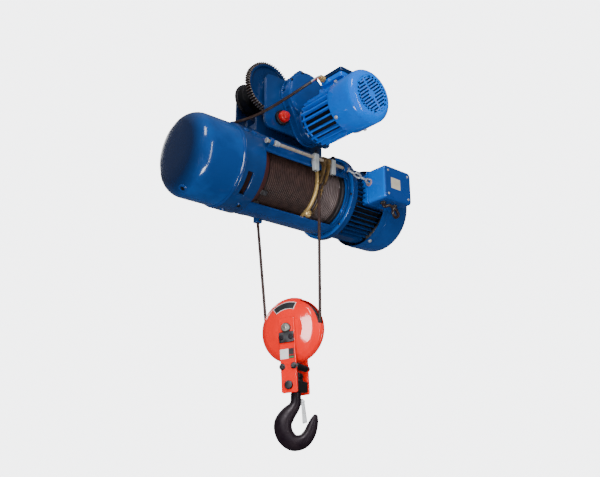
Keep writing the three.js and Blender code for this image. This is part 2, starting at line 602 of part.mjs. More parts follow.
// Wheel: tread, flange against the beam's edge, hub and, on the driven side, a toothed rim.
// Its facets are turned so that a flat one lies on the beam.
function wheel(side, geared, toothAt) {
  const treadR = WHEEL.treadR / Math.cos(Math.PI / WHEEL_FACETS);
  const bore = AXLE_R + RUNNING;
  const points = [
    [bore, WHEEL.inner], [treadR, WHEEL.inner], [treadR, WHEEL.shoulder], [WHEEL.flangeR, WHEEL.shoulder],
    [WHEEL.flangeR, WHEEL.outer], [24, WHEEL.outer], [24, PLATE.inner - 3], [bore, PLATE.inner - 3],
    [bore, WHEEL.inner]];
  const mirrored = points.map(([r, y]) => [r, side * y]);
  const body = turned(mirrored, 'y', WHEEL_FACETS, Math.PI / WHEEL_FACETS);
  if (!geared) return body;
  const { teeth, module, inner, outer } = WHEEL_GEAR;
  const rim = gearAlongY(teeth, module, toothAt, -outer, -inner + 1);
  return join(body, cut(rim, shaft(bore, -outer - 2, -inner + 3, 'y')));
}
const DRIVE_PINION = { teeth: 12, module: 4 };
for (const [sideName, side] of [['near', -1], ['far', 1]]) {
  for (const [endName, end] of [['left', -1], ['right', 1]]) {
    const towardsWheel = end > 0 ? 0 : Math.PI;
    const shape = wheel(side, side < 0, meshingTooth(towardsWheel, WHEEL_GEAR.teeth));
    shape.translate(end * WHEEL.x, 0, WHEEL.treadR);
    piece(hoist, `wheel_${sideName}_${endName}`, shape, paint(BODY_BLUE, 0.5));
  }
}

// ---------------------------------------------------------------- trolley reducer
const MOTOR_SEAT_R = 60;
const GEAR_CASE = { back: -PLATE.outer - GAP, front: -112, wall: 6, bossFront: -124.7 };
const REDUCER = {
  motorPinion: { teeth: 12, module: 2.5 }, idlerGear: { teeth: 30, module: 2.5 },
  idlerPinion: { teeth: 12, module: 3 }, driveGear: { teeth: 28, module: 3 },
};
const LAYER_A = [-105, -95.5]; // motor pinion and idler gear
const LAYER_B = [-93, -83.5]; // idler pinion and drive gear
const direction = (from, to) => Math.atan2(to.z - from.z, to.x - from.x);

// Outline round two circles, with straight sides between them.
function hull(a, b) {
  const [dx, dz] = [b.x - a.x, b.z - a.z];
  const along = Math.atan2(dz, dx);
  const swing = Math.acos((a.r - b.r) / Math.hypot(dx, dz));
  const shape = new THREE.Shape();
  shape.absarc(a.x, a.z, a.r, along + swing, along - swing + 2 * Math.PI, false);
  shape.absarc(b.x, b.z, b.r, along - swing, along + swing, false);
  return shape;
}

function trolleyGearCase() {
  const { back, front, wall, bossFront } = GEAR_CASE;
  const outlineOf = (margin) => hull(
    { ...DRIVE_COVER, r: DRIVE_COVER.r - margin }, { ...DRIVE_MOTOR, r: MOTOR_SEAT_R - margin });
  const body = slabAlongY(outlineOf(0), front, back, 9);
  const hollow = slabAlongY(outlineOf(wall), front + wall, back + 2, 9);
  const boss = atXZ(shaft(MOTOR_SEAT_R, bossFront, front + 1, 'y', ROUND), DRIVE_MOTOR);
  const coverRoom = atXZ(shaft(DRIVE_COVER.r + GAP, bossFront - 2, front, 'y', ROUND), DRIVE_COVER);
  const mouth = atXZ(shaft(62, front - 2, front + wall + 2, 'y', ROUND), DRIVE_COVER);
  const motorHole = atXZ(shaft(9, bossFront - 2, front + wall + 2, 'y'), DRIVE_MOTOR);
  return cut(join(cut(body, hollow), cut(boss, coverRoom)), mouth, motorHole);
}
piece(hoist, 'trolley_gear_case', trolleyGearCase(), paint(BODY_BLUE));

function trolleyGearCover() {
  const [front, back] = [GEAR_CASE.bossFront, GEAR_CASE.front - GAP];
  const disc = atXZ(shaft(DRIVE_COVER.r, front, back, 'y', ROUND), DRIVE_COVER);
  const blind = (place) => atXZ(shaft(7 + RUNNING, front + 5, back + 2, 'y'), place);
  return cut(disc, blind(DRIVE_AXIS), blind(DRIVE_IDLER));
}
piece(hoist, 'trolley_gear_cover', trolleyGearCover(), paint(BODY_BLUE, 0.45));

const reducerGear = ({ teeth, module }, toothAt, span) => gearAlongY(teeth, module, toothAt, ...span);
const pinionTooth = direction(DRIVE_MOTOR, DRIVE_IDLER);
const idlerToDrive = direction(DRIVE_IDLER, DRIVE_AXIS);

function trolleyIdler() {
  const gear = reducerGear(REDUCER.idlerGear, meshingTooth(pinionTooth, REDUCER.idlerGear.teeth), LAYER_A);
  const pinion = reducerGear(REDUCER.idlerPinion, idlerToDrive, [LAYER_A[1] - 1, LAYER_B[1]]);
  return join(gear, pinion, shaft(7, GEAR_CASE.bossFront + 6, -PLATE.inner - 1, 'y'));
}
piece(hoist, 'trolley_idler', atXZ(trolleyIdler(), DRIVE_IDLER), metal(STEEL));

function trolleyDriveShaft() {
  const gearTooth = meshingTooth(idlerToDrive, REDUCER.driveGear.teeth);
  const gear = reducerGear(REDUCER.driveGear, gearTooth, LAYER_B);
  const { teeth, module } = DRIVE_PINION;
  const pinion = gearAlongY(teeth, module, 0, -WHEEL_GEAR.outer, -WHEEL_GEAR.inner);
  const front = shaft(7, GEAR_CASE.bossFront + 6, LAYER_B[0] + 1, 'y');
  const back = shaft(14, LAYER_B[1] - 1, -WHEEL_GEAR.outer + 1, 'y');
  return join(gear, pinion, front, back);
}
piece(hoist, 'trolley_drive_shaft', atXZ(trolleyDriveShaft(), DRIVE_AXIS), metal(STEEL));

// ---------------------------------------------------------------- trolley motor
const T_FLANGE = [-137, -125];
const T_FRAME = [-275, -136];
const T_FAN_COVER = [-369, -269];
const T_MOTOR = { finTip: 74, finRoot: 65, bore: 56, fanCoverR: 81 };

function trolleyMotorFrame() {
  const flange = shaft(66, ...T_FLANGE, 'y', ROUND);
  const fins = slabAlongY(outline(finOutline(20, T_MOTOR.finTip, T_MOTOR.finRoot)), ...T_FRAME);
  const cavity = shaft(T_MOTOR.bore, T_FRAME[0] + 8, T_FLANGE[0] + 2, 'y', 24);
  const bore = shaft(9, T_FRAME[0] - 2, T_FLANGE[1] + 2, 'y');
  return cut(join(flange, fins), cavity, bore);
}
piece(hoist, 'trolley_motor_frame', atXZ(trolleyMotorFrame(), DRIVE_MOTOR), paint(BRIGHT_BLUE));

function trolleyFanCover() {
  const [front, back] = T_FAN_COVER;
  const rounding = 20;
  const wall = 2;
  const centreR = T_MOTOR.fanCoverR - rounding;
  const shell = turned([
    [0, front], ...arc(centreR, front + rounding, rounding, -90, 0, 3), [T_MOTOR.fanCoverR, back],
    [T_MOTOR.fanCoverR - wall, back], ...arc(centreR, front + rounding, rounding - wall, 0, -90, 3),
    [0, front + wall]], 'y');
  const vents = [-30, 0, 30].map((z) => {
    const half = Math.sqrt(56 ** 2 - z ** 2);
    return block([-half, half], [front - 5, front + 8], [z - 7, z + 7]);
  });
  return cut(shell, ...vents);
}
piece(hoist, 'trolley_fan_cover', atXZ(trolleyFanCover(), DRIVE_MOTOR), paint(BRIGHT_BLUE));

function trolleyRotor() {
  const pinion = reducerGear(REDUCER.motorPinion, pinionTooth, LAYER_A);
  const spindle = turned([
    [0, -303], [7, -303], [7, -250], [50, -250], [50, -160], [7, -160], [7, LAYER_A[0] + 1],
    [0, LAYER_A[0] + 1]], 'y', 16);
  const fan = shaft(66, -297, -291, 'y', 16);
  const blades = Array.from({ length: 6 }, (_, i) =>
    block([-1.2, 1.2], [-313, -296], [18, 62]).rotateY((Math.PI * i) / 3));
  return join(spindle, pinion, fan, ...blades);
}
piece(hoist, 'trolley_rotor', atXZ(trolleyRotor(), DRIVE_MOTOR), metal(STEEL));

function terminalBox() {
  const box = block([-14, 68], [-286, -190], [22, 54]);
  const neckRoom = atXZ(shaft(T_MOTOR.finTip + 0.6, T_FRAME[0] + 4, T_FRAME[1], 'y', ROUND), DRIVE_MOTOR);
  const neck = cut(block([4, 50], [-257, -201], [0, 23]), neckRoom);
  return join(box, neck);
}
piece(hoist, 'terminal_box', terminalBox(), paint(BRIGHT_BLUE));

// ---------------------------------------------------------------- hook block
const acrossBlock = new THREE.Vector3(Math.cos(radians(BLOCK_YAW)), Math.sin(radians(BLOCK_YAW)), 0);
const nearFallTop = new THREE.Vector3(ROPE_EXIT_X, -ROPE_CENTRE_R, DRUM_AXIS_Z);
const sheaveCentre = nearFallTop.clone().addScaledVector(acrossBlock, -SHEAVE.pitchR).setZ(SHEAVE.z);
const lean = radians(BLOCK_TILT);
const trunnion = sheaveCentre.clone()
  .addScaledVector(acrossBlock, -SHEAVE.aboveTrunnion * Math.sin(lean))
  .setZ(SHEAVE.z - SHEAVE.aboveTrunnion * Math.cos(lean));

const hookBlock = new THREE.Group(); // X along the sheave's plane, Y along its axle, Z up the side plates
hookBlock.position.copy(trunnion);
hookBlock.rotation.set(0, lean, radians(BLOCK_YAW), 'ZYX');
hoist.add(hookBlock);
const SHEAVE_Z = SHEAVE.aboveTrunnion;
const SPACER = { x: 18, z: 52, r: 6 };
const SHEAVE_AXLE_R = 14;
const TRUNNION_R = 12;

// A dished cover. The front one has a notch for the fixed fall, which leans out of the sheave's plane.
function blockCover(side) {
  const outer = [[17, 34], [42, 34], [76, 27], [94, 14], [BLOCK_COVER_R, 6.3]];
  const inner = [[93.5, 6.3], [91, 13], [74, 24], [42, 31], [17, 31], [17, 34]];
  const dish = turned([...outer, ...inner].map(([r, y]) => [r, side * y]), 'y').translate(0, 0, SHEAVE_Z);
  if (side > 0) return dish;
  return cut(dish, block([-98, -76], [-15, 0], [SHEAVE_Z + 14, SHEAVE_Z + 70]));
}
piece(hookBlock, 'block_cover_front', blockCover(-1), paint(BLOCK_RED, 0.25));
piece(hookBlock, 'block_cover_back', blockCover(1), paint(BLOCK_RED, 0.25));

function blockPlate(side) {
  const half = BLOCK_PLATE.width / 2;
  const shape = roundedRectangle(-half, half, BLOCK_PLATE.bottom, BLOCK_PLATE.top, 5);
  const span = side < 0 ? [-BLOCK_PLATE.outer, -BLOCK_PLATE.inner] : [BLOCK_PLATE.inner, BLOCK_PLATE.outer];
  const long = [span[0] - 3, span[1] + 3];
  const hole = (x, z, r, facets = SMALL_ROUND) => shaft(r, ...long, 'y', facets).translate(x, 0, z);
  return cut(slabAlongY(shape, ...span, 1),
    hole(0, SHEAVE_Z, SHEAVE_AXLE_R + GAP, PIN_ROUND), hole(0, 0, TRUNNION_R + RUNNING),
    hole(-SPACER.x, SPACER.z, SPACER.r + GAP, 8), hole(SPACER.x, SPACER.z, SPACER.r + GAP, 8));
}
piece(hookBlock, 'block_plate_front', blockPlate(-1), paint(BLOCK_RED, 0.25));
piece(hookBlock, 'block_plate_back', blockPlate(1), paint(BLOCK_RED, 0.25));

// Sheave: a rope groove round a disc that tapers out to its hub.
function sheave() {
  const half = 10.5;
  const bottom = SHEAVE.pitchR - ROPE_D / 2 - 0.8;
  const { rimR } = SHEAVE;
  return turned([
    [SHEAVE_AXLE_R + RUNNING, -18], [30, -18], [34, -half], [rimR, -half], [bottom, -5],
    [bottom, 5], [rimR, half], [34, half], [30, 18],
    [SHEAVE_AXLE_R + RUNNING, 18], [SHEAVE_AXLE_R + RUNNING, -18]], 'y').translate(0, 0, SHEAVE_Z);
}
piece(hookBlock, 'sheave', sheave(), metal(CAST_IRON, 0.6));

const AXLE_REACH = BLOCK_PLATE.outer + 10;
const axle = shaft(SHEAVE_AXLE_R, -AXLE_REACH, AXLE_REACH, 'y', PIN_ROUND).translate(0, 0, SHEAVE_Z);
piece(hookBlock, 'sheave_axle', axle, metal(FORGED, 0.5));

function axleKeeper() {
  const front = -BLOCK_PLATE.outer - GAP;
  const plate = block([-23, 23], [front - 5, front], [SHEAVE_Z - 42, SHEAVE_Z - 12]);
  const axleRoom = shaft(SHEAVE_AXLE_R + GAP, front - 8, front + 4, 'y', PIN_ROUND);
  return cut(plate, axleRoom.translate(0, 0, SHEAVE_Z));
}
piece(hookBlock, 'axle_keeper', axleKeeper(), metal(FORGED, 0.5));

function spacerBolt(x) {
  const inside = BLOCK_PLATE.inner - GAP;
  const outside = BLOCK_PLATE.outer + GAP;
  const head = outside + 7;
  const profile = [
    [0, -head], [9, -head], [9, -outside], [SPACER.r, -outside], [SPACER.r, -inside], [9, -inside],
    [9, inside], [SPACER.r, inside], [SPACER.r, outside], [9, outside], [9, head], [0, head]];
  return turned(profile, 'y', 8).translate(x, 0, SPACER.z);
}
piece(hookBlock, 'spacer_bolt_left', spacerBolt(-SPACER.x), metal(FORGED, 0.5));
piece(hookBlock, 'spacer_bolt_right', spacerBolt(SPACER.x), metal(FORGED, 0.5));

const SHANK_R = 13;
function crosshead() {
  const body = block([-22, 22], [-BLOCK_PLATE.inner + 1.5, BLOCK_PLATE.inner - 1.5], [-15, 15]);
  const pins = shaft(TRUNNION_R, -AXLE_REACH + 4, AXLE_REACH - 4, 'y', SMALL_ROUND);
  const hole = shaft(SHANK_R + RUNNING, -20, 20, 'z', PIN_ROUND);
  return cut(join(body, pins), hole).rotateZ(radians(BLOCK_YAW));
}
const hookFrame = new THREE.Group(); // hangs plumb from the trunnion
hookFrame.position.copy(trunnion);
hoist.add(hookFrame);
piece(hookFrame, 'crosshead', crosshead(), metal(FORGED, 0.5));
piece(hookFrame, 'thrust_bearing', tube(SHANK_R + RUNNING, 20, 15 + GAP, 23, 'z', PIN_ROUND), metal(STEEL));

function hookNut() {
  const hexagon = shaft(21, 23 + GAP, 36, 'z', 6);
  return cut(hexagon, shaft(SHANK_R + RUNNING, 20, 40, 'z', PIN_ROUND));
}
piece(hookFrame, 'hook_nut', hookNut(), metal(FORGED, 0.5));

// Hook: [distance along its own X, height, half width in its plane, half thickness] down the shank,
// round the bowl and up to the tip.
const HOOK_PATH = [
  [0, 38, SHANK_R, SHANK_R], [0, -17, SHANK_R, SHANK_R], [0, -19, 14.5, 14.5], [0, -42, 14.5, 14.5],
  [-7, -58, 16, 15], [-25, -78, 19.5, 17], [-38, -102, 21.5, 19], [-34, -129, 21.5, 20],
  [-17, -148, 20.5, 20], [2, -153.5, 19, 19.5], [22, -147, 17.5, 18], [37, -130, 16.5, 16],
  [45, -110, 15, 14], [50.5, -92, 10.5, 10.5], [54, -82, 5, 6]];
const HOOK_SIDES = 12;
const HOOK_SEAT_Z = -135.5;
const LATCH_PIVOT = { x: 19, z: -44 };

function hook() {
  const centres = HOOK_PATH.map(([x, z]) => new THREE.Vector3(x, 0, z));
  const rings = HOOK_PATH.map(([, , wide, thick], i) => {
    const before = centres[Math.max(0, i - 1)];
    const after = centres[Math.min(centres.length - 1, i + 1)];
    const along = after.clone().sub(before).normalize();
    const across = new THREE.Vector3(along.z, 0, -along.x);
    return Array.from({ length: HOOK_SIDES }, (_, k) => {
      const a = (2 * Math.PI * (k + 0.5)) / HOOK_SIDES;
      return centres[i].clone().addScaledVector(across, wide * Math.cos(a)).add(
        new THREE.Vector3(0, thick * Math.sin(a), 0));
    });
  });
  const bowlSeat = block([-4, 8], [-8, 8], [HOOK_SEAT_Z, HOOK_SEAT_Z + 30]);
  const latchLug = block([10, 24], [-4, 4], [-50, -36]);
  return cut(join(skinned(rings), latchLug), bowlSeat);
}
const hookGroup = new THREE.Group();
hookGroup.rotation.z = radians(HOOK_YAW);
hookFrame.add(hookGroup);
piece(hookGroup, 'hook', hook(), metal(FORGED, 0.45));

// Latch: a folded steel strip whose two ears straddle the hook's lug.
function hookLatch() {
  const strip = outline([[-1, 4], [5, 4], [13, -54], [3, -57], [-1, -8]]);
  const body = slabAlongY(strip, -8, 8).translate(LATCH_PIVOT.x, 0, LATCH_PIVOT.z);
  const lugRoom = block([-5, 26], [-4.6, 4.6], [-54, -30]);
  const channel = outline([[-10, 0], [4, -12], [10.6, -60], [-10, -60]]);
  const hollow = slabAlongY(channel, -6, 6).translate(LATCH_PIVOT.x, 0, LATCH_PIVOT.z);
  return cut(body, lugRoom, hollow);
}
piece(hookGroup, 'hook_latch', hookLatch(), metal(ZINC, 0.3));

// ---------------------------------------------------------------- rope falls and the fixed end's socket
const blockAxle = new THREE.Vector3().crossVectors(new THREE.Vector3(0, 0, 1), acrossBlock);
function ropeFalls() {
  const sheavePlane = (angle) => sheaveCentre.clone()
    .addScaledVector(acrossBlock, SHEAVE.pitchR * Math.cos(angle))
    .add(new THREE.Vector3(0, 0, SHEAVE.pitchR * Math.sin(angle)));
  const fixedEnd = new THREE.Vector3(ANCHOR.x, ANCHOR.y, ANCHOR.z - 23); // 1 mm under the socket
  const bends = 12;
  const wrap = Array.from({ length: bends + 1 }, (_, i) => sheavePlane((-Math.PI * i) / bends));
  const points = [nearFallTop, ...wrap, fixedEnd];
  const rings = points.map((p, i) => {
    const before = points[Math.max(i - 1, 0)];
    const after = points[Math.min(i + 1, points.length - 1)];
    const along = after.clone().sub(before).normalize();
    const side = new THREE.Vector3().crossVectors(along, blockAxle).normalize();
    const up = new THREE.Vector3().crossVectors(side, along);
    return Array.from({ length: 8 }, (_, k) => {
      const [across, out] = around(ROPE_D / 2, 45 * k);
      return p.clone().addScaledVector(side, across).addScaledVector(up, out);
    });
  });
  return skinned(rings);
}
piece(hoist, 'rope_falls', ropeFalls(), metal(ROPE_BROWN, 0.7));

const ANCHOR_HALF = { x: 15, y: 12, below: 22, above: 20 };
function ropeAnchor() {
  const { x, y, z } = ANCHOR;
  const body = block(
    [x - ANCHOR_HALF.x, x + ANCHOR_HALF.x], [y - ANCHOR_HALF.y, y + ANCHOR_HALF.y],
    [z - ANCHOR_HALF.below, z + ANCHOR_HALF.above]);
  const shellRoom = shaft(SHELL_R + GAP, x - 2 * ANCHOR_HALF.x, x + 2 * ANCHOR_HALF.x, 'x', ROUND);
  return cut(body, shellRoom.translate(0, 0, DRUM_AXIS_Z));
}
piece(hoist, 'rope_anchor', ropeAnchor(), paint(BODY_BLUE));

export default hoist;
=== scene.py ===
"""Electric wire rope hoist: the visible pieces, their finishes, the light and the camera.

Sizes are in millimetres, counted from the middle of the trolley at the height of the wheel treads,
and are turned into the row frame's metres when a mesh is made.
"""

import math

import bmesh
import bpy
from mathutils import Matrix, Vector


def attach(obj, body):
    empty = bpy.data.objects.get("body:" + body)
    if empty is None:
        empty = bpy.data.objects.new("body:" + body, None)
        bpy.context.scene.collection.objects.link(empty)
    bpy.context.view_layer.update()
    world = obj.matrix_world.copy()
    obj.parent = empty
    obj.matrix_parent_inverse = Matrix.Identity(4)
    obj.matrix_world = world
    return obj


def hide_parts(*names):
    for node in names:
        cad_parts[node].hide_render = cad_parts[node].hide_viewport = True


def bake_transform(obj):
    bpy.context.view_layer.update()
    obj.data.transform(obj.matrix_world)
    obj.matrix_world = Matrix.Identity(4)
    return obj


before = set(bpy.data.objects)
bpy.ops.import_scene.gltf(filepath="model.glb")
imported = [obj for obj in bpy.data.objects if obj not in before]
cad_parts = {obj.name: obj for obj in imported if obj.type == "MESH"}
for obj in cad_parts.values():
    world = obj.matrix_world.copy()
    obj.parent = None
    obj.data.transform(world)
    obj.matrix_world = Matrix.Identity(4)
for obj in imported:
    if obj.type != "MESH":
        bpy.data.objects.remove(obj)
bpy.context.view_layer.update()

# ------------------------------------------------------------------ sizes
# angles round the drum axis are in degrees and run from -Y towards +Z
MM = 0.001
TROLLEY_CENTRE = Vector((0.104, 0.027, 0.0))
DRUM_Z = -228
SHELL_LEFT, SHELL_RIGHT, SHELL_R, SHELL_WALL = -160, 173, 123.5, 5.5
WINDOW_X, WINDOW_ANGLES = (-156, 163), (-67, 12)
BAND_RIGHT = -118
HANGER_Y, HANGER_HALF = 24, 5
CASE_LEFT, CASE_R, CASE_WALL = -230, 128.5, 9
COVER_LEFT, COVER_R, COVER_ROUNDING = -383, 124.5, 55
FLANGE_R, FLANGE = 137, (173, 195)
FRAME, MOTOR_R, FIN_DEPTH = (195.3, 330), 118, 13
FAN_COVER, FAN_COVER_R, FAN_COVER_ROUNDING = (322, 450), 130.7, 36
DRUM_R, ROPE_D, ROPE_PITCH, ROPE_EXIT_X, ROPE_END_X = 93.8, 6.1, 6.6, 65, -122
ROPE_CENTRE_R = DRUM_R + ROPE_D / 2
WOUND_R, FALL_R = 2.55, 4.6  # the free rope opens up against the rope pressed into the drum's grooves
STRANDS, LAY_LENGTH, ROPE_STEP = 6, 44, 3.0  # a strand turns once round the rope in a lay length
GUIDE, GUIDE_OPEN, GUIDE_BOSS_ANGLE = (46, 75), (-62, 8), -62
ROD_Y, ROD_Z, ROD_R, ROD_ENDS = -132, -178, 5, (-166, 158)
LINK_LENGTH, LINK_WIDTH, LINK_R, LINKS = 30, 17.5, 3.0, 4
BOX_X, BOX_Y, BOX_Z, LID_DEPTH = (242, 366), (-206, -106), (-269, -157), 80
ANCHOR = Vector((-48, 60, -352))
PLATE = {"half": 130, "bottom": -98, "top": 82, "inner": 70, "outer": 80}
CROSS_SHAFT_X, CROSS_SHAFT_Z = 72, -56
WHEEL_X, TREAD_R, WHEEL_TEETH, PINION_TEETH, TOOTH_SPAN = 104, 47, 60, 18, (-65, -47.5)
DRIVE_X, DRIVE_Z = 26.8, -62.2
DISC_X, DISC_Z, DISC_R = 3, 30, 79
DRIVE_ROOT_R, DRIVE_TIP_R, DRIVE_BACK = 62, 74, -275
DRIVE_COVER, DRIVE_COVER_R, DRIVE_COVER_ROUNDING = (-369, -269), 81, 22
BLOCK_YAW, BLOCK_TILT, HOOK_YAW = -65, -3.4, -40
SHEAVE_R, SHEAVE_Z, ABOVE_TRUNNION, SPACER_Z, BLOCK_FACE = 86, -685, 161, 52, 44
ROPE_SLOT = (4, 66)  # degrees from +X towards +Z where the front cover is cut back for the rope
LABEL_Y, LABEL_FLAT_R, LABEL_SLOPE = -32.6, 58, 0.31  # the cover's face, falling back outside a radius

# places where a piece made round its own axis is put
ON_AXIS = Matrix.Translation((0, 0, DRUM_Z))
ON_ROD = Matrix.Translation((0, ROD_Y, ROD_Z))
ON_DRIVE = Matrix.Translation((DRIVE_X, 0, DRIVE_Z))
ON_DISC = Matrix.Translation((DISC_X, 0, DISC_Z))


# ------------------------------------------------------------------ shapes: (points, faces)
def joined(*shapes):
    points, faces = [], []
    for more_points, more_faces in shapes:
        start = len(points)
        points += more_points
        faces += [tuple(start + i for i in face) for face in more_faces]
    return points, faces


def changed(shape, matrix):
    return [matrix @ point for point in shape[0]], shape[1]


def moved(shape, x=0.0, y=0.0, z=0.0):
    return changed(shape, Matrix.Translation((x, y, z)))


def spun(shape, degrees, axis):
    return changed(shape, Matrix.Rotation(math.radians(degrees), 4, axis))


def standing(shape, at, direction):
    """Turns a shape's +Z to a direction and puts it at a point."""
    turn = Vector((0, 0, 1)).rotation_difference(Vector(direction)).to_matrix().to_4x4()
    return changed(shape, Matrix.Translation(at) @ turn)


def polar(r, degrees):
    angle = math.radians(degrees)
    return r * math.cos(angle), r * math.sin(angle)


def placed(axis, a, b, along):
    """A point from its two coordinates across an axis and its place along it."""
    if axis == "x":
        return Vector((along, a, b))
    if axis == "y":
        return Vector((a, along, b))
    return Vector((a, b, along))


def about_y(r, degrees, y=0.0):
    """A point round the Y axis; the angle runs from +X towards +Z."""
    return placed("y", *polar(r, degrees), y)


def outward(angle):
    """Away from the drum axis; the angle runs from -Y towards +Z."""
    y, z = polar(1, angle)
    return Vector((0, -y, z))


def on_drum(r, angle, x):
    return Vector((x, 0, DRUM_Z)) + r * outward(angle)


def raised(shape, r, angle, x):
    """Stands a shape on a circle round the drum axis, looking outwards."""
    return standing(shape, on_drum(r, angle, x), outward(angle))


def skinned(rings, closed=False):
    """Joins rings of points in a row with faces, and closes the two ends unless the row is closed."""
    size = len(rings[0])
    points = [point for ring in rings for point in ring]
    faces = []
    for i in range(len(rings) if closed else len(rings) - 1):
        here, there = i * size, (i + 1) % len(rings) * size
        for k in range(size):
            after = (k + 1) % size
            faces.append((here + k, here + after, there + after, there + k))
    if not closed:
        faces.append(tuple(range(size)))
        faces.append(tuple(range(len(points) - size, len(points))))
    return points, faces


def filleted(corners, steps=4):
    """Rounds each (a, b, radius) corner of a closed outline; a corner with no radius stays sharp."""
    result = []
    count = len(corners)
    for i, corner in enumerate(corners):
        here = Vector(corner[:2])
        radius = corner[2] if len(corner) > 2 else 0
        before = Vector(corners[i - 1][:2]) - here
        after = Vector(corners[(i + 1) % count][:2]) - here
        if not radius or before.length < 1e-6 or after.length < 1e-6:
            result.append(tuple(here))
            continue
        half = before.angle(after) / 2
        reach = min(radius / math.tan(half), 0.49 * before.length, 0.49 * after.length)
        first, last = here + before.normalized() * reach, here + after.normalized() * reach
        for k in range(steps + 1):
            t = k / steps
            result.append(tuple((1 - t) ** 2 * first + 2 * t * (1 - t) * here + t * t * last))
    return result


def arc(centre, r, start, end, steps):
    """Points round a centre, from one angle to another in degrees."""
    spots = [polar(r, start + (end - start) * i / steps) for i in range(steps + 1)]
    return [(centre[0] + a, centre[1] + b) for a, b in spots]


def lathe(profile, axis="x", steps=96, start=0.0, end=360.0):
    """Turns a closed profile of (radius, along) round an axis, fully or from one angle to another."""
    full = end - start >= 360
    rings = []
    for i in range(steps if full else steps + 1):
        a, b = polar(1, start + (end - start) * i / steps)
        rings.append([placed(axis, r * a, r * b, along) for r, along in profile])
    return skinned(rings, closed=full)


def disc(axis, r, low, high, rounding=1.0, steps=32):
    return lathe(filleted([(0, low), (r, low, rounding), (r, high, rounding), (0, high)]), axis, steps)


def tube(axis, r_in, r_out, low, high, rounding=1.0, steps=96):
    corners = ((r_in, low), (r_out, low), (r_out, high), (r_in, high))
    return lathe(filleted([(*corner, rounding) for corner in corners]), axis, steps)


def prism(outline, axis, low, high):
    return skinned([[placed(axis, a, b, along) for a, b in outline] for along in (low, high)])


def box(x, y, z):
    return prism([(x[0], z[0]), (x[1], z[0]), (x[1], z[1]), (x[0], z[1])], "y", *y)


def soft_box(x, y, z, radius, axis):
    """A box whose edges along one axis are rounded."""
    (left, right), (low, high), along = {"x": (y, z, x), "y": (x, z, y), "z": (x, y, z)}[axis]
    corners = ((left, low), (right, low), (right, high), (left, high))
    return prism(filleted([(*corner, radius) for corner in corners], 6), axis, *along)


def smooth_path(knots, per_span):
    """A Catmull-Rom curve through the knots."""
    knots = [Vector(knot) for knot in knots]
    ends = [2 * knots[0] - knots[1], *knots, 2 * knots[-1] - knots[-2]]
    path = []
    for i in range(1, len(ends) - 2):
        a, b, c, d = ends[i - 1:i + 3]
        for k in range(per_span):
            t = k / per_span
            path.append(0.5 * (2 * b + (c - a) * t + (2 * a - 5 * b + 4 * c - d) * t * t
                               + (3 * b - a - 3 * c + d) * t ** 3))
    path.append(knots[-1])
    return path


def swept(path, section, closed=False):
    """Carries an outline along a path without twist. section(travelled) gives it at a distance."""
    count = len(path)
    tangents = []
    for i in range(count):
        before = path[i - 1] if closed or i else path[0]
        after = path[(i + 1) % count] if closed or i < count - 1 else path[i]
        tangents.append((after - before).normalized())
    normal = tangents[0].orthogonal().normalized()
    travelled = 0.0
    rings = []
    for i, (point, tangent) in enumerate(zip(path, tangents)):
        if i:
            travelled += (point - path[i - 1]).length
            normal = (normal - normal.dot(tangent) * tangent).normalized()
        side = tangent.cross(normal)
        rings.append([point + a * normal + b * side for a, b in section(travelled)])
    return skinned(rings, closed)


def wire(path, r, sides, closed=False):
    circle = [polar(r, 360 * k / sides) for k in range(sides)]
    return swept(path, lambda travelled: circle, closed)


def rope(path, r, valley=0.94):
    """Six strands laid round each other: a lobed outline that turns as it goes."""
    sides = 2 * STRANDS
    crown = 1.03

    def outline(travelled):
        twist = 360 * travelled / LAY_LENGTH
        return [polar(r * (valley if k % 2 else crown), twist + 360 * k / sides) for k in range(sides)]

    return swept(path, outline)


def straight(a, b):
    count = int((b - a).length / ROPE_STEP)
    return [a.lerp(b, i / count) for i in range(count + 1)]


def helix(r, right, left, steps):
    """A path round the drum axis that goes left by one rope pitch in a turn."""
    turns = (right - left) / ROPE_PITCH
    shares = [turns * i / steps for i in range(steps + 1)]
    return [on_drum(r, 360 * share, right - ROPE_PITCH * share) for share in shares]


def hexagon(*rings):
    """A six-sided solid along Z from rings of (radius, height)."""
    return skinned([[placed("z", *polar(r, 60 * k), height) for k in range(6)] for r, height in rings])


def hex_bolt(at, direction, across, height, washer=1.6):
    """A bolt head with a chamfered top, on a washer, standing on a face."""
    r = across / math.sqrt(3)
    head = hexagon((r, washer), (r, washer + 0.8 * height), (0.86 * r, washer + height))
    if washer:
        head = joined(head, disc("z", 1.25 * r, 0, washer, 0.4, 24))
    return standing(head, at, direction)


def socket_screw(at, direction, r, height):
    """A cap screw with a hexagonal socket."""
    head = lathe([(0.5 * r, height * 0.4), (0.55 * r, height), (0.92 * r, height), (r, height * 0.9),
                  (r, 0), (0, 0), (0, height * 0.4)], "z", 24)
    return standing(head, at, direction)


def pan_screw(at, direction, r, height=2.2):
    """A domed screw head with a cross slot."""
    dome = lathe([(0, 0), (r, 0), (r, 0.35 * height), (0.8 * r, 0.8 * height), (0.35 * r, height),
                  (0, height)], "z", 20)
    long, short, deep = (-0.75 * r, 0.75 * r), (-0.12 * r, 0.12 * r), (0.9 * height, 1.06 * height)
    return standing(joined(dome, box(long, short, deep), box(short, long, deep)), at, direction)


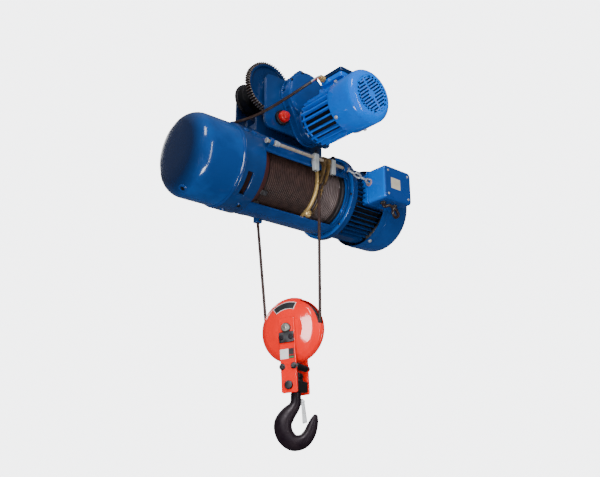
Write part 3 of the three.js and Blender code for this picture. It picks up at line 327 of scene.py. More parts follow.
def walled(r_in, r_out, xs, angles, is_open):
    """A closed wall between two radii round the drum axis, over a grid of stations along X and angles
    from -Y towards +Z, left out where is_open(x, angle)."""
    count = len(angles)
    points = [on_drum(r, angle, x) for r in (r_in, r_out) for x in xs for angle in angles]

    def index(side, i, k):
        return side * len(xs) * count + i * count + k % count

    def there(i, k):
        if not 0 <= i < len(xs) - 1:
            return False
        low = angles[k % count]
        high = angles[(k + 1) % count] + (360 if k % count == count - 1 else 0)
        return not is_open((xs[i] + xs[i + 1]) / 2, (low + high) / 2)

    faces = []
    cells = [(i, k) for i in range(len(xs) - 1) for k in range(count) if there(i, k)]
    for i, k in cells:
        here, ahead, above, across = (i, k), (i + 1, k), (i, k + 1), (i + 1, k + 1)
        for side in (0, 1):
            faces.append(tuple(index(side, *corner) for corner in (here, ahead, across, above)))
        for neighbour, a, b in (((i - 1, k), here, above), ((i + 1, k), ahead, across),
                                ((i, k - 1), here, ahead), ((i, k + 1), above, across)):
            if not there(*neighbour):
                faces.append((index(0, *a), index(0, *b), index(1, *b), index(1, *a)))
    return points, faces


def angle_grid(*fixed):
    """Angles round a circle every 4 degrees, with the fixed ones among them."""
    fixed = [angle % 360 for angle in fixed]
    between = [a for a in range(0, 360, 4) if all(abs(a - mark) > 1.5 for mark in fixed)]
    return sorted(fixed + between)


def within(angle, low, high):
    return low < (angle + 180) % 360 - 180 < high


# ------------------------------------------------------------------ finishes
def new_node(tree, kind, inputs=None, **settings):
    """Makes a node, links the inputs given as sockets and sets the others. Gives its outputs."""
    node = tree.nodes.new("ShaderNode" + kind)
    for name, value in settings.items():
        setattr(node, name, value)
    for key, value in (inputs or {}).items():
        feed(tree, node.inputs[key], value)
    return node.outputs


def feed(tree, socket, value):
    if isinstance(value, bpy.types.NodeSocket):
        tree.links.new(value, socket)
    elif socket.type == "RGBA":
        socket.default_value = (*value, 1.0)
    else:
        socket.default_value = value


def maths(tree, operation, a, b):
    return new_node(tree, "Math", {0: a, 1: b}, operation=operation)["Value"]


def remapped(tree, value, low, high, to_low, to_high):
    return new_node(tree, "MapRange", {"Value": value, "From Min": low, "From Max": high,
                                       "To Min": to_low, "To Max": to_high})["Result"]


class Finish:
    """A Principled material whose nodes read the piece's own place in the row frame."""

    def __init__(self, name, slot):
        self.slot = slot
        self.material = bpy.data.materials.new(name)
        self.material.use_nodes = True
        self.tree = self.material.node_tree
        self.shader = self.tree.nodes["Principled BSDF"]
        self.place = new_node(self.tree, "TexCoord")["Object"]
        self.relief = None

    def set(self, **values):
        for name, value in values.items():
            feed(self.tree, self.shader.inputs[name.replace("_", " ")], value)

    def noise(self, scale, detail=3.0, stretch=(1, 1, 1)):
        spot = new_node(self.tree, "Mapping", {"Vector": self.place, "Scale": stretch})["Vector"]
        return new_node(self.tree, "TexNoise", {"Vector": spot, "Scale": scale, "Detail": detail,
                                                "Roughness": 0.55})["Fac"]

    def patches(self, scale, detail, low, high, to_low=0.0, to_high=1.0):
        """Noise stretched so that low to high becomes to_low to to_high."""
        return remapped(self.tree, self.noise(scale, detail), low, high, to_low, to_high)

    def times(self, a, b):
        return maths(self.tree, "MULTIPLY", a, b)

    def mix(self, factor, a, b):
        return new_node(self.tree, "Mix", {"Factor": factor, 6: a, 7: b}, data_type="RGBA")[2]

    def bump(self, height, distance, strength):
        """Adds relief, in metres, on top of any relief already there."""
        inputs = {"Strength": strength, "Distance": distance, "Height": height}
        if self.relief:
            inputs["Normal"] = self.relief
        self.relief = new_node(self.tree, "Bump", inputs)["Normal"]
        self.set(Normal=self.relief)

    def facing(self, axis, none, full):
        """0 to 1 as one part of the surface's direction goes from none to full."""
        normal = new_node(self.tree, "NewGeometry")["Normal"]
        part = new_node(self.tree, "SeparateXYZ", {"Vector": normal})[axis]
        return remapped(self.tree, part, none, full, 0.0, 1.0)

    def edges(self, low, high):
        sharpness = new_node(self.tree, "NewGeometry")["Pointiness"]
        return remapped(self.tree, sharpness, low, high, 0.0, 1.0)


DUST, BARE_PAINT = (0.20, 0.20, 0.19), (0.22, 0.23, 0.25)
BARE_METAL, BARE_WIRE = (0.75, 0.75, 0.74), (0.15, 0.095, 0.080)
DIRT = (0.07, 0.06, 0.05)


def enamel(name, slot, colour, deep, gloss=0.2, dust=0.14, relief=1.0, coat=0.35, chipped=0.35, left=None):
    """Sprayed enamel: slow changes of shade, orange peel, smudges, dust on top and thin worn edges.
    left is a colour painted on the faces that look towards -X: painted light where it is brighter, painted
    shade where it is darker."""
    finish = Finish(name, slot)
    painted = finish.mix(finish.patches(7, 4, 0.35, 0.68), deep, colour)
    # painted light and shade by direction: faces that look towards -X take the left colour (brighter on the
    # flange and box, darker on the cover end)
    if left:
        painted = finish.mix(finish.facing("X", -0.35, -0.95), painted, left)
    settled = finish.times(finish.facing("Z", 0.2, 0.95), finish.patches(30, 6, 0.35, 0.75, 0, dust))
    chips = finish.times(finish.edges(0.60, 0.70), finish.patches(120, 4, 0.5, 0.6, 0, chipped))
    smudges = finish.patches(16, 5, 0.3, 0.8, gloss * 0.7, gloss * 1.7)
    finish.set(Base_Color=finish.mix(chips, finish.mix(settled, painted, DUST), BARE_PAINT),
               Roughness=maths(finish.tree, "ADD", smudges, finish.times(settled, 0.5)),
               Specular_IOR_Level=0.3, Coat_Weight=coat, Coat_Roughness=0.05)
    finish.bump(finish.noise(28), 0.0009 * relief, 0.35)
    finish.bump(finish.noise(420, 2), 0.0002 * relief, 0.4)
    return finish


def bare_metal(name, slot, colour, worn, roughness=0.35, grain=(1, 1, 1), stains=0.3, metallic=1.0):
    """Bare or plated metal: fine grain, stains and brighter edges."""
    finish = Finish(name, slot)
    base = finish.mix(finish.patches(38, 5, 0.4, 0.75, 0, stains), colour, worn)
    bright = finish.times(finish.edges(0.55, 0.65), 0.5)
    finish.set(Base_Color=finish.mix(bright, base, BARE_METAL), Metallic=metallic,
               Roughness=finish.patches(60, 4, 0.3, 0.75, roughness * 0.75, roughness * 1.4))
    finish.bump(finish.noise(500, 3, grain), 0.00012, 0.5)
    finish.bump(finish.noise(60), 0.0004, 0.2)
    return finish


def greased_rope(name, bare, relief=1.0):
    """Wire rope: thin wires across each strand, brown grease in the valleys, bare steel on the crowns."""
    finish = Finish(name, "rope")
    base = finish.mix(finish.patches(55, 5, 0.35, 0.7), (0.018, 0.008, 0.007), (0.046, 0.022, 0.018))
    crowns = finish.times(finish.edges(0.5, 0.62), bare)
    finish.set(Base_Color=finish.mix(crowns, base, BARE_WIRE), Metallic=0.1, Specular_IOR_Level=0.25,
               Roughness=finish.patches(140, 3, 0.3, 0.8, 0.5, 0.75))
    finish.bump(finish.noise(900, 2, (1, 1, 0.6)), 0.0004 * relief, 0.6)
    return finish


def moulded(name, slot, colour, roughness=0.45):
    """Rubber or plastic with a fine moulded grain and a little dirt."""
    finish = Finish(name, slot)
    dirt = finish.patches(45, 4, 0.45, 0.8, 0, 0.25)
    finish.set(Base_Color=finish.mix(dirt, colour, DIRT),
               Roughness=finish.patches(90, 3, 0.3, 0.8, roughness * 0.8, roughness * 1.2))
    finish.bump(finish.noise(700, 2), 0.0001, 0.5)
    return finish


BLUE = enamel("gloss_blue", "body_blue", (0.006, 0.048, 0.205), (0.004, 0.028, 0.125), 0.15)
# the cover's -X end is painted darker: painted shade on the end turned away from the light
COVER_BLUE = enamel("cover_blue", "body_blue", (0.005, 0.070, 0.280), (0.003, 0.034, 0.150), 0.14,
                    relief=0.5, left=(0.004, 0.012, 0.045))
# the flange's -X faces are painted brighter: painted light on the side the light falls on
FLANGE_BLUE = enamel("flange_blue", "body_blue", (0.005, 0.040, 0.175), (0.003, 0.022, 0.100),
                     left=(0.001, 0.085, 0.380))
DEEP_BLUE = enamel("shaded_blue", "body_blue", (0, 0.018, 0.085), (0, 0.010, 0.050), 0.3)
# a darker copy of the body blue for the gearbox case and the near side plate: painted shade
CASE_BLUE = enamel("case_blue", "body_blue", (0.006, 0.036, 0.140), (0.004, 0.020, 0.080), 0.18)
FIN_BLUE = enamel("fin_blue", "body_blue", (0, 0.034, 0.150), (0, 0.020, 0.095), 0.32, 0.1, chipped=0)
# near-black blue for the fin roots, the motor housings and the bulkhead behind the case slot: painted shade
# where only shade is seen
SHADOW_BLUE = enamel("painted_shadow_blue", "body_blue", (0, 0.002, 0.008), (0, 0.001, 0.004), 0.7, 0.05,
                     coat=0, chipped=0)
AZURE = enamel("azure", "bright_blue", (0, 0.160, 0.780), (0, 0.105, 0.560), 0.16)
# the box's -X faces are painted brighter: painted light on the side the light falls on
BOX_BLUE = enamel("box_blue", "bright_blue", (0.002, 0.046, 0.235), (0.001, 0.032, 0.170), 0.25,
                  left=(0, 0.180, 0.86))
RED = enamel("block_red", "block_red", (0.98, 0.010, 0.004), (0.86, 0.007, 0.003), 0.16, 0.1)
CAP_RED = enamel("cap_red", "oxide_red", (0.50, 0.008, 0.006), (0.34, 0.006, 0.005), 0.3, 0.1)
OXIDE = enamel("red_oxide", "oxide_red", (0.060, 0.008, 0.007), (0.030, 0.004, 0.004), 0.7, 0.1, 1.6,
               coat=0, chipped=0.2)
GREY_CAST = bare_metal("grey_casting", "cast", (0.09, 0.09, 0.10), (0.045, 0.035, 0.03), 0.6, stains=0.7)
GROOVED = bare_metal("grooved_cast", "cast", (0.120, 0.080, 0.076), (0.060, 0.034, 0.030), 0.5,
                     stains=0.6, metallic=0.5)
# near-black bed under the wound rope: painted shade in the gaps between the turns
SHADED_ROPE_BED = bare_metal("rope_bed_shade", "cast", (0.012, 0.006, 0.005), (0.006, 0.003, 0.003), 0.7,
                           metallic=0)
RUSTY = bare_metal("browned_steel", "cast", (0.17, 0.10, 0.07), (0.06, 0.028, 0.018), 0.55, stains=0.9)
STEEL = bare_metal("machined_steel", "steel", (0.46, 0.47, 0.49), (0.20, 0.17, 0.14), 0.32, (1, 1, 12),
                   metallic=0.6)
ZINC = bare_metal("zinc_plate", "zinc", (0.44, 0.46, 0.48), (0.24, 0.22, 0.20), 0.3, stains=0.35,
                  metallic=0.5)
DARK_STEEL = bare_metal("black_steel", "forged_dark", (0.070, 0.070, 0.076), (0.04, 0.032, 0.03), 0.42)
AXLE_GREY = bare_metal("axle_grey", "steel", (0.22, 0.21, 0.19), (0.09, 0.08, 0.07), 0.45, stains=0.5)
CLAMP_GREY = bare_metal("clamp_zinc", "zinc", (0.40, 0.43, 0.44), (0.20, 0.19, 0.18), 0.36, stains=0.7,
                        metallic=0.4)
LATCH_METAL = bare_metal("latch_plate", "zinc", (0.80, 0.83, 0.86), (0.48, 0.48, 0.47), 0.28, metallic=0.5)
FORGED = bare_metal("forged_black", "forged_dark", (0.010, 0.005, 0.010), (0.020, 0.012, 0.016), 0.44,
                    stains=0.8, metallic=0.2)
FORGED.set(Specular_IOR_Level=0.2)
BRASS = bare_metal("brass", "brass", (0.50, 0.34, 0.13), (0.28, 0.17, 0.06), 0.3, metallic=0.45)
# a darker copy of the brass for the guide's far rim, thread ring, rollers and fork: painted shade, with
# stains on top
SHADED_BRASS = bare_metal("shaded_brass", "brass", (0.15, 0.090, 0.030), (0.020, 0.010, 0.007), 0.4,
                       stains=1.0, metallic=0.4)
ROD_METAL = bare_metal("rod_metal", "brass", (0.34, 0.29, 0.23), (0.15, 0.105, 0.075), 0.32,
                       (12, 1, 1), 0.5, 0.4)
ROPE = greased_rope("greased_rope", bare=0.12)
WOUND_ROPE = greased_rope("wound_rope", bare=0.1, relief=0.2)
RUBBER = moulded("black_rubber", "cast", (0.008, 0.005, 0.005), 0.36)
CABLE = moulded("cable_sheath", "cast", (0.018, 0.008, 0.006), 0.34)
LABEL = moulded("blank_label", "zinc", (0.50, 0.45, 0.36), 0.5)
WHITE_LABEL = moulded("white_label", "zinc", (0.82, 0.82, 0.80), 0.35)
DARK_LABEL = moulded("dark_label", "forged_dark", (0.020, 0.022, 0.024), 0.35)
EYELET = moulded("worn_eyelet", "zinc", (0.42, 0.27, 0.27))
WIRE_RED = moulded("red_wire", "oxide_red", (0.55, 0.02, 0.02), 0.4)
WIRE_GREEN = moulded("green_wire", "body_blue", (0.03, 0.30, 0.10), 0.4)
WIRE_WHITE = moulded("white_wire", "zinc", (0.42, 0.42, 0.40), 0.4)


# ------------------------------------------------------------------ pieces
def in_frame(point):
    return TROLLEY_CENTRE + MM * point


def make(name, shape, finish, body="frame", stands_for=None, bevel=0.0, segments=2, sharp=34):
    """A piece in the row frame with its finish, riding on a body. It stands for the named piece of the
    row, or for the one of its own name where there is one."""
    mesh = bpy.data.meshes.new(name)
    mesh.from_pydata([in_frame(point) for point in shape[0]], [], shape[1])
    edit = bmesh.new()
    edit.from_mesh(mesh)
    bmesh.ops.remove_doubles(edit, verts=edit.verts, dist=1e-6)
    bmesh.ops.dissolve_degenerate(edit, edges=edit.edges, dist=1e-6)
    bmesh.ops.recalc_face_normals(edit, faces=edit.faces)
    edit.to_mesh(mesh)
    edit.free()
    for polygon in mesh.polygons:
        polygon.use_smooth = True
    mesh.set_sharp_from_angle(angle=math.radians(sharp))
    piece = bpy.data.objects.new(name, mesh)
    bpy.context.collection.objects.link(piece)
    mesh.materials.append(finish.material)
    if bevel:
        modifier = piece.modifiers.new("worn_edges", "BEVEL")
        modifier.width = bevel * MM
        modifier.segments = segments
        modifier.limit_method = "ANGLE"
        modifier.angle_limit = math.radians(40)
        modifier.harden_normals = True
    piece.visible_glossy = finish is not RED  # the block doesn't colour the drum's gloss
    if body:
        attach(piece, body)
    if stands_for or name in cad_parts:
        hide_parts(stands_for or name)
    return piece


# ---- drum shell, casing and cover
def drum_shell():
    left, right = SHELL_LEFT + 0.3, SHELL_RIGHT - 0.3
    xs = [left, WINDOW_X[0], BAND_RIGHT, -60, 0, 60, 120, WINDOW_X[1], right]
    angles = angle_grid(*WINDOW_ANGLES)
    shell = walled(SHELL_R - SHELL_WALL, SHELL_R, xs, angles, lambda x, angle:
                   WINDOW_X[0] < x < WINDOW_X[1] and within(angle, *WINDOW_ANGLES))
    band = walled(SHELL_R - 1, SHELL_R + 1.6, [left, BAND_RIGHT], angles,
                  lambda x, angle: within(angle, *WINDOW_ANGLES))
    make("drum_shell", joined(shell, band), BLUE, bevel=0.9)


def above_axis(y):
    """The height of the shell's outside at a place across it."""
    return DRUM_Z + math.sqrt(SHELL_R ** 2 - y ** 2)


def hangers():
    low, high = above_axis(HANGER_Y) - 3, -36
    outline = filleted([(-125, low), (140, low), (140, high, 12), (-125, high, 12)], 6)
    parts = [prism(outline, "y", y - HANGER_HALF, y + HANGER_HALF) for y in (-HANGER_Y, HANGER_Y)]
    between = (HANGER_HALF - HANGER_Y, HANGER_Y - HANGER_HALF)
    parts += [box((x - 4, x + 4), between, (low, -62)) for x in (-118, 8, 133)]
    make("hanger_plates", joined(*parts), DEEP_BLUE, bevel=1.2)
    welds = []
    for middle in (-HANGER_Y, HANGER_Y):
        for y in (middle - HANGER_HALF, middle + HANGER_HALF):
            z = above_axis(y) + 1
            path = [Vector((x, y + 0.8 * math.sin(0.9 * x), z + 0.5 * math.sin(1.7 * x)))
                    for x in range(-123, 139, 2)]
            welds.append(wire(path, 3.2, 8))
    make("hanger_welds", joined(*welds), DEEP_BLUE)


def rod_brackets():
    parts = []
    angle = math.degrees(math.atan2(ROD_Z - DRUM_Z, -ROD_Y))
    reach = math.hypot(ROD_Y, ROD_Z - DRUM_Z)
    for x in (-149, 140):
        arm = box((-5, 5), (-9, 9), (SHELL_R - 4, reach))
        parts.append(standing(arm, (x, 0, DRUM_Z), outward(angle)))
        parts.append(changed(tube("x", ROD_R + 1, 11.5, x - 6, x + 6, 1.2, 32), ON_ROD))
    make("rod_brackets", joined(*parts), BLUE, bevel=1.0)


def gearbox():
    slot_x, slot_angles = (-213, -195), (-58, -25)
    ring = walled(CASE_R - CASE_WALL, CASE_R, [CASE_LEFT, *slot_x, SHELL_LEFT], angle_grid(*slot_angles),
                  lambda x, angle: slot_x[0] < x < slot_x[1] and within(angle, *slot_angles))
    make("gearbox_case", ring, CASE_BLUE, bevel=1.8, segments=3)
    make("case_bulkhead", changed(tube("x", 26, 122, -226, -216, steps=64), ON_AXIS), SHADOW_BLUE)
    pads = [raised(disc("z", 9, -2, 2.2), CASE_R, angle, x)
            for angle, x in ((38, -186), (38, -214), (-75, -186), (-100, -205))]
    make("case_pads", joined(*pads), BLUE)
    plug = raised(disc("z", 6.5, 0, 3.2, 0.8, 6), CASE_R + 1.5, -75, -186)
    make("case_drain_plug", plug, DARK_STEEL, bevel=0.5)
    inner, low, high = CASE_R - 8, CASE_LEFT - 0.2, -238
    rim = filleted([(inner, low), (inner, high), (CASE_R - 2.2, high, 1.5), (CASE_R - 0.8, -231, 1.5),
                    (CASE_R - 0.8, low)])
    make("cover_rim", changed(lathe(rim, steps=128), ON_AXIS), BLUE)


def gearbox_cover():
    centre = (COVER_R - COVER_ROUNDING, COVER_LEFT + COVER_ROUNDING)
    dome = [(0, COVER_LEFT), (30, COVER_LEFT + 0.4), (52, COVER_LEFT + 1.4)]
    rounding = arc(centre, COVER_ROUNDING, 270, 360, 18)[3:]
    foot = [(COVER_R, CASE_LEFT - 6), (COVER_R, CASE_LEFT - 2), (COVER_R, CASE_LEFT - 0.4),
            (COVER_R - 4, CASE_LEFT - 0.4)]
    inside = [(COVER_R - 6, COVER_LEFT + 60), (60, COVER_LEFT + 6), (0, COVER_LEFT + 6)]
    cover = lathe([*dome, *rounding, *foot, *inside], steps=160)
    make("gearbox_cover", changed(cover, ON_AXIS), COVER_BLUE)
    at = Vector((COVER_LEFT + 23.5, -16, DRUM_Z - 113))
    out = Vector((-0.574, -0.115, -0.811))
    make("oil_level_boss", standing(tube("z", 6.5, 13, -4, 3.5, 1.5, 40), at, out), BLUE)
    make("oil_level_plug", standing(disc("z", 6.6, -3, 2.2, 0.8), at, out), DARK_STEEL)


# ---- lifting motor
def motor_flange():
    left, right = FLANGE
    profile = filleted([
        (34, left - 23, 1), (34, left + 6), (26, left + 6), (26, right), (122, right, 1),
        (FLANGE_R, right, 4), (FLANGE_R, left, 4), (126, left, 1), (126, left + 5, 1), (116, left + 5, 1),
        (112, left - 4, 2), (62, left - 4, 2), (58, left - 23, 1)])
    make("motor_flange", changed(lathe(profile, steps=144), ON_AXIS), FLANGE_BLUE)
    bolts = []
    for i in range(8):
        angle = 22.5 + 45 * i
        bolts.append(hex_bolt(on_drum(129.5, angle, right), (1, 0, 0), 11, 6))
        bolts.append(hex_bolt(on_drum(131.2, angle + 11, left), (-1, 0, 0), 7.5, 3, washer=0))
    make("flange_bolts", joined(*bolts), DARK_STEEL, bevel=0.4)
    make("bearing_grease_nub", raised(disc("z", 5, -4, 5, 2, 24), 116, -39, left - 7), AZURE)


def finned(axis, span, root, tip, count, low_width, high_width, skipped=(0, 0)):
    """Straight cooling fins round a housing; each is a tapered blade with a rounded top. Those between
    the skipped angles are left out."""
    outline = filleted([(root - 3, -low_width / 2), (tip, -high_width / 2, 0.9), (tip, high_width / 2, 0.9),
                        (root - 3, low_width / 2)], 3)
    angles = [360 * i / count for i in range(count)]
    return joined(*[spun(prism(outline, axis, *span), degrees, axis.upper())
                    for degrees in angles if not skipped[0] < degrees < skipped[1]])


def lifting_motor():
    left, right = FRAME
    root = MOTOR_R - FIN_DEPTH
    make("motor_housing", changed(tube("x", root - 8, root, left, right), ON_AXIS), SHADOW_BLUE)
    collar = lathe(filleted([(root - 8, left), (MOTOR_R - 1, left, 2), (MOTOR_R - 1, left + 9, 2),
                             (root - 2, left + 12)]))
    fins = finned("x", (left + 5, right - 3), root, MOTOR_R, 44, 3.2, 2.0)
    strip = box((left + 10, right - 4), (-16, 16), (-MOTOR_R - 0.5, -root + 4))
    make("motor_frame", changed(joined(collar, fins, strip), ON_AXIS), FIN_BLUE)


def fan_cover():
    left, right = FAN_COVER
    wall, mouth = 2.5, 52
    centre = (FAN_COVER_R - FAN_COVER_ROUNDING, right - FAN_COVER_ROUNDING)
    profile = [(mouth, right), *arc(centre, FAN_COVER_ROUNDING, 90, 0, 14), (FAN_COVER_R, left + 2),
               (FAN_COVER_R - 0.8, left), (FAN_COVER_R - wall, left),
               *arc(centre, FAN_COVER_ROUNDING - wall, 0, 90, 14), (mouth, right - wall)]
    make("fan_cover", changed(lathe(profile, steps=144), ON_AXIS), BLUE)
    bars = [tube("x", r - 3, r + 1, right - 2.4, right - 0.2, 0.6, 64) for r in (13, 25, 37, 49)]
    spoke = box((right - 2.2, right - 0.4), (10, 53), (-2.2, 2.2))
    bars += [spun(spoke, 45 * i, "X") for i in range(8)]
    make("fan_cover_grille", changed(joined(*bars), ON_AXIS), BLUE)
    screws = [hex_bolt(on_drum(FAN_COVER_R, angle, left + 12), outward(angle), 9, 4)
              for angle in (20, 110, 200, 290)]
    make("fan_cover_screws", joined(*screws), ZINC, bevel=0.3)
    bead = tube("x", FAN_COVER_R - 1, FAN_COVER_R + 0.9, left + 24, left + 27, 0.6, 144)
    make("fan_cover_bead", changed(bead, ON_AXIS), BLUE)


# ---- drum, rope and guide
def drum():
    barrel = disc("x", DRUM_R, ROPE_EXIT_X - 2, 156, steps=96)
    make("grooved_barrel", changed(barrel, ON_AXIS), GROOVED, "drum")
    right, left = 154, ROPE_EXIT_X + 4
    ridge = helix(DRUM_R, right, left, int((right - left) / ROPE_PITCH * 110))
    make("groove_ridges", wire(ridge, 2.1, 8), GROOVED, "drum")
    # the barrel under the wound rope is near-black: painted shade between the turns
    covered = disc("x", DRUM_R - 2, -130, ROPE_EXIT_X - 1, steps=96)
    make("covered_barrel", changed(covered, ON_AXIS), SHADED_ROPE_BED, "drum")
    flange = filleted([(24.3, -188), (110, -188, 2), (110, -140, 3), (104, -138, 2), (104, -130, 2),
                       (90, -130), (90, -180), (24.3, -180)])
    make("drum_flange", changed(lathe(flange), ON_AXIS), OXIDE, "drum", "drum")
    end = filleted([(86, 156), (106, 156, 2), (106, 168, 2), (49.3, 168), (49.3, 150), (86, 150)])
    make("drum_end_ring", changed(lathe(end), ON_AXIS), GREY_CAST, "drum")
    pad = soft_box((-11, 11), (-7, 7), (0, 8), 3, "z")
    clamps = []
    for angle in (-50, -76, -102):
        clamps.append(raised(pad, DRUM_R + 5, angle, ROPE_END_X))
        clamps.append(hex_bolt(on_drum(DRUM_R + 13, angle, ROPE_END_X), outward(angle), 9, 5))
    make("rope_clamps", joined(*clamps), GREY_CAST, "drum", bevel=0.6)


def wound_rope():
    """Turns from the clamps to the guide."""
    length = (ROPE_EXIT_X - ROPE_END_X) / ROPE_PITCH * 2 * math.pi * ROPE_CENTRE_R
    path = helix(ROPE_CENTRE_R, ROPE_EXIT_X, ROPE_END_X, int(length / ROPE_STEP))
    make("wound_rope", rope(path, WOUND_R, 0.97), WOUND_ROPE, "drum")


def rope_guide():
    """Two rims joined by a threaded inner ring, open where the rope leaves, with a fork up to the rod."""
    left, right = GUIDE
    rim_left = filleted([(102, left, 2), (112, left, 5), (112, left + 10.5, 5), (102, left + 10.5, 2)], 6)
    rim_right = filleted([(103.2, right - 4.5, 1), (109.5, right - 4.5, 2), (109.5, right, 2),
                          (103.2, right, 1)])
    web = lathe(filleted([(103.5, left + 6, 0.5), (106.5, left + 6, 0.5), (106.5, right - 3, 0.5),
                          (103.5, right - 3, 0.5)]), "x", 110, 180 - GUIDE_OPEN[0], 540 - GUIDE_OPEN[1])
    for name, shape, finish in (("rope_guide", lathe(rim_left, steps=144), BRASS),
                                ("guide_right_rim", lathe(rim_right, steps=128), SHADED_BRASS),
                                ("guide_thread_ring", web, SHADED_BRASS)):
        make(name, changed(shape, ON_AXIS), finish, "rope_guide")
    dome = [(0, -8), (12.5, -8), (13.5, -2), (12.5, 3), (9.5, 7.5), (5, 9.8), (0, 10.4)]
    boss = joined(lathe(dome, "z", 40), disc("z", 4.5, 9, 13, steps=6))
    make("guide_boss", raised(boss, 109, GUIDE_BOSS_ANGLE, left + 13), BRASS, "rope_guide", sharp=45)
    nut = hex_bolt(on_drum(108, GUIDE_BOSS_ANGLE + 4, right - 3), outward(GUIDE_BOSS_ANGLE), 10, 7)
    roller = disc("z", 4.5, -3, 5, 1.5, 24)
    rollers = [raised(roller, 107, angle, right - 5) for angle in (14, -4, -18, -32)]
    make("guide_rollers", joined(nut, *rollers), SHADED_BRASS, "rope_guide", bevel=0.4)
    arm = filleted([(-107, -10, 2), (-116, -10, 3), (-124, 14, 6), (-126, 40, 4), (-123, 60, 4),
                    (-141, 60, 5), (-142, 34, 6), (-133, 6, 8), (-119, -18, 4), (-107, -20, 2)], 5)
    spans = ((left + 5, left + 11), (right - 6, right - 1))
    fork = [changed(prism(arm, "x", *span), ON_AXIS) for span in spans]
    eye = changed(tube("x", ROD_R + 2.5, 12.5, left + 4, right, 1.5, 40), ON_ROD)
    make("guide_fork", joined(*fork, eye), SHADED_BRASS, "rope_guide", bevel=0.8)


def limit_rod():
    left, right = ROD_ENDS
    make("limit_rod", changed(disc("x", ROD_R, left, right, 1.2), ON_ROD), ROD_METAL, "limit_rod")
    spans = ((left, -162, 8), (-136.5, -126, 8.4), (-125, -119, 7.4), (152.5, right, 7.6))
    ends = [tube("x", ROD_R, r, low, high, steps=32) for low, high, r in spans]
    make("rod_ferrules", changed(joined(*ends), ON_ROD), ZINC, "limit_rod")
    for name, low, high, foot in (("stop_collar_left", 13, 29.5, -42), ("stop_collar_right", 83, 98, -36)):
        jaw = filleted([(-8, foot, 3), (6, foot, 3), (9, -14, 2), (9, 12, 5), (-8, 14, 5)], 5)
        block = changed(prism(jaw, "x", low, high), ON_ROD)
        make(name, block, CLAMP_GREY, "limit_rod", bevel=1.4, segments=3)
        middle = (low + high) / 2
        screws = joined(socket_screw((middle + 2, -1, 12), (0, 0, 1), 6.5, 12),
                        socket_screw((middle, 0, foot + 1), (0, 0, -1), 4.5, 4))
        make(name + "_screws", changed(screws, ON_ROD), DARK_STEEL, "limit_rod", bevel=0.4)


def chain_link(centre, along, across):
    """One oval link: two half circles and two straight sides."""
    half = LINK_WIDTH / 2 - LINK_R
    reach = LINK_LENGTH / 2 - LINK_R - half
    oval = arc((reach, 0), half, -90, 90, 12) + arc((-reach, 0), half, 90, 270, 12)
    return wire([centre + along * a + across * b for a, b in oval], LINK_R, 10, closed=True)


def limit_chain():
    start, end = Vector((159, ROD_Y, ROD_Z)), Vector((247, -145, -200))
    sag = (start + end) / 2 + Vector((0, 0, -5))
    links = []
    for i in range(LINKS):
        t = (i + 0.5) / LINKS
        at = (1 - t) ** 2 * start + 2 * t * (1 - t) * sag + t * t * end
        along = (2 * (1 - t) * (sag - start) + 2 * t * (end - sag)).normalized()
        side = along.cross(Vector((0, 0, 1))).normalized()
        up = side.cross(along)
        links.append(chain_link(at, along, (side + up if i % 2 else side - up).normalized()))
    make("limit_chain", joined(*links), ZINC, "limit_rod")


# ---- limit switch box
def grown(span, by):
    return span[0] - by, span[1] + by


def switch_box():
    front, back = BOX_Y
    split = front + LID_DEPTH
    lid = soft_box(BOX_X, (front, split), BOX_Z, 16, "y")
    make("limit_switch_box", lid, BOX_BLUE, bevel=8, segments=6)
    rim = soft_box(grown(BOX_X, 2), (split - 6, split), grown(BOX_Z, 2), 17, "y")
    make("box_lid_rim", rim, BOX_BLUE, bevel=2, segments=3)
    base = soft_box(grown(BOX_X, -5), (split, back + 12), grown(BOX_Z, -5), 12, "y")
    make("box_base", base, BOX_BLUE, bevel=2)
    foot = box((BOX_X[0] + 22, BOX_X[1] - 50), (back - 6, back + 22), (-250, -183))
    make("box_bracket", foot, DEEP_BLUE, bevel=2)
    make("box_blank_label", box((271, 313), (front - 0.7, front + 1), (-231, -195)), LABEL, bevel=0.4)
    screws = [pan_screw((x, front, z), (0, -1, 0), 4.2, 2.6) for x in grown(BOX_X, -17)
              for z in grown(BOX_Z, -17)]
    make("box_screws", joined(*screws), ZINC)
    make("chain_eyelet", moved(tube("x", 7.5, 12.5, -4, 3, 1.5, 40), BOX_X[0], -140, -200), EYELET)
    glands = [moved(tube("z", 4, 10, -7, 1, 2, 8), x, -172, BOX_Z[0]) for x in (268, 318)]
    make("box_glands", joined(*glands), RUBBER, bevel=0.8)
    knots = ((268, -172, -272), (268, -176, -285), (282, -185, -281), (297, -186, -288),
             (298, -184, -303), (310, -183, -314), (325, -181, -304), (325, -177, -288), (318, -172, -272))
    make("box_cable", wire(smooth_path(knots, 12), 5, 16), CABLE)


# ---- trolley
def across_y(side, near, far):
    """A span along Y, given as two distances from the middle on one side."""
    return sorted((side * near, side * far))


def side_plates():
    half, low, high, outer = (PLATE[key] for key in ("half", "bottom", "top", "outer"))
    outline = filleted([(-half, low, 22), (half, low, 22), (half, high, 22), (-half, high, 22)], 8)
    for name, side, finish in (("near_side_plate", -1, CASE_BLUE), ("far_side_plate", 1, DEEP_BLUE)):
        parts = [prism(outline, "y", *across_y(side, PLATE["inner"], outer))]
        for x in (-WHEEL_X, WHEEL_X):
            parts.append(moved(disc("y", 12, *across_y(side, 16, PLATE["inner"] + 2)), x, 0, TREAD_R))
            if side > 0:
                parts.append(moved(disc("y", 18, outer, outer + 4, 1.5, 40), x, 0, TREAD_R))
        make(name, joined(*parts), finish, bevel=1.6, segments=3)
    nuts = [hex_bolt((x, outer + 4, TREAD_R), (0, 1, 0), 17, 8) for x in (-WHEEL_X, WHEEL_X)]
    make("axle_nuts", joined(*nuts), DARK_STEEL, bevel=0.6)


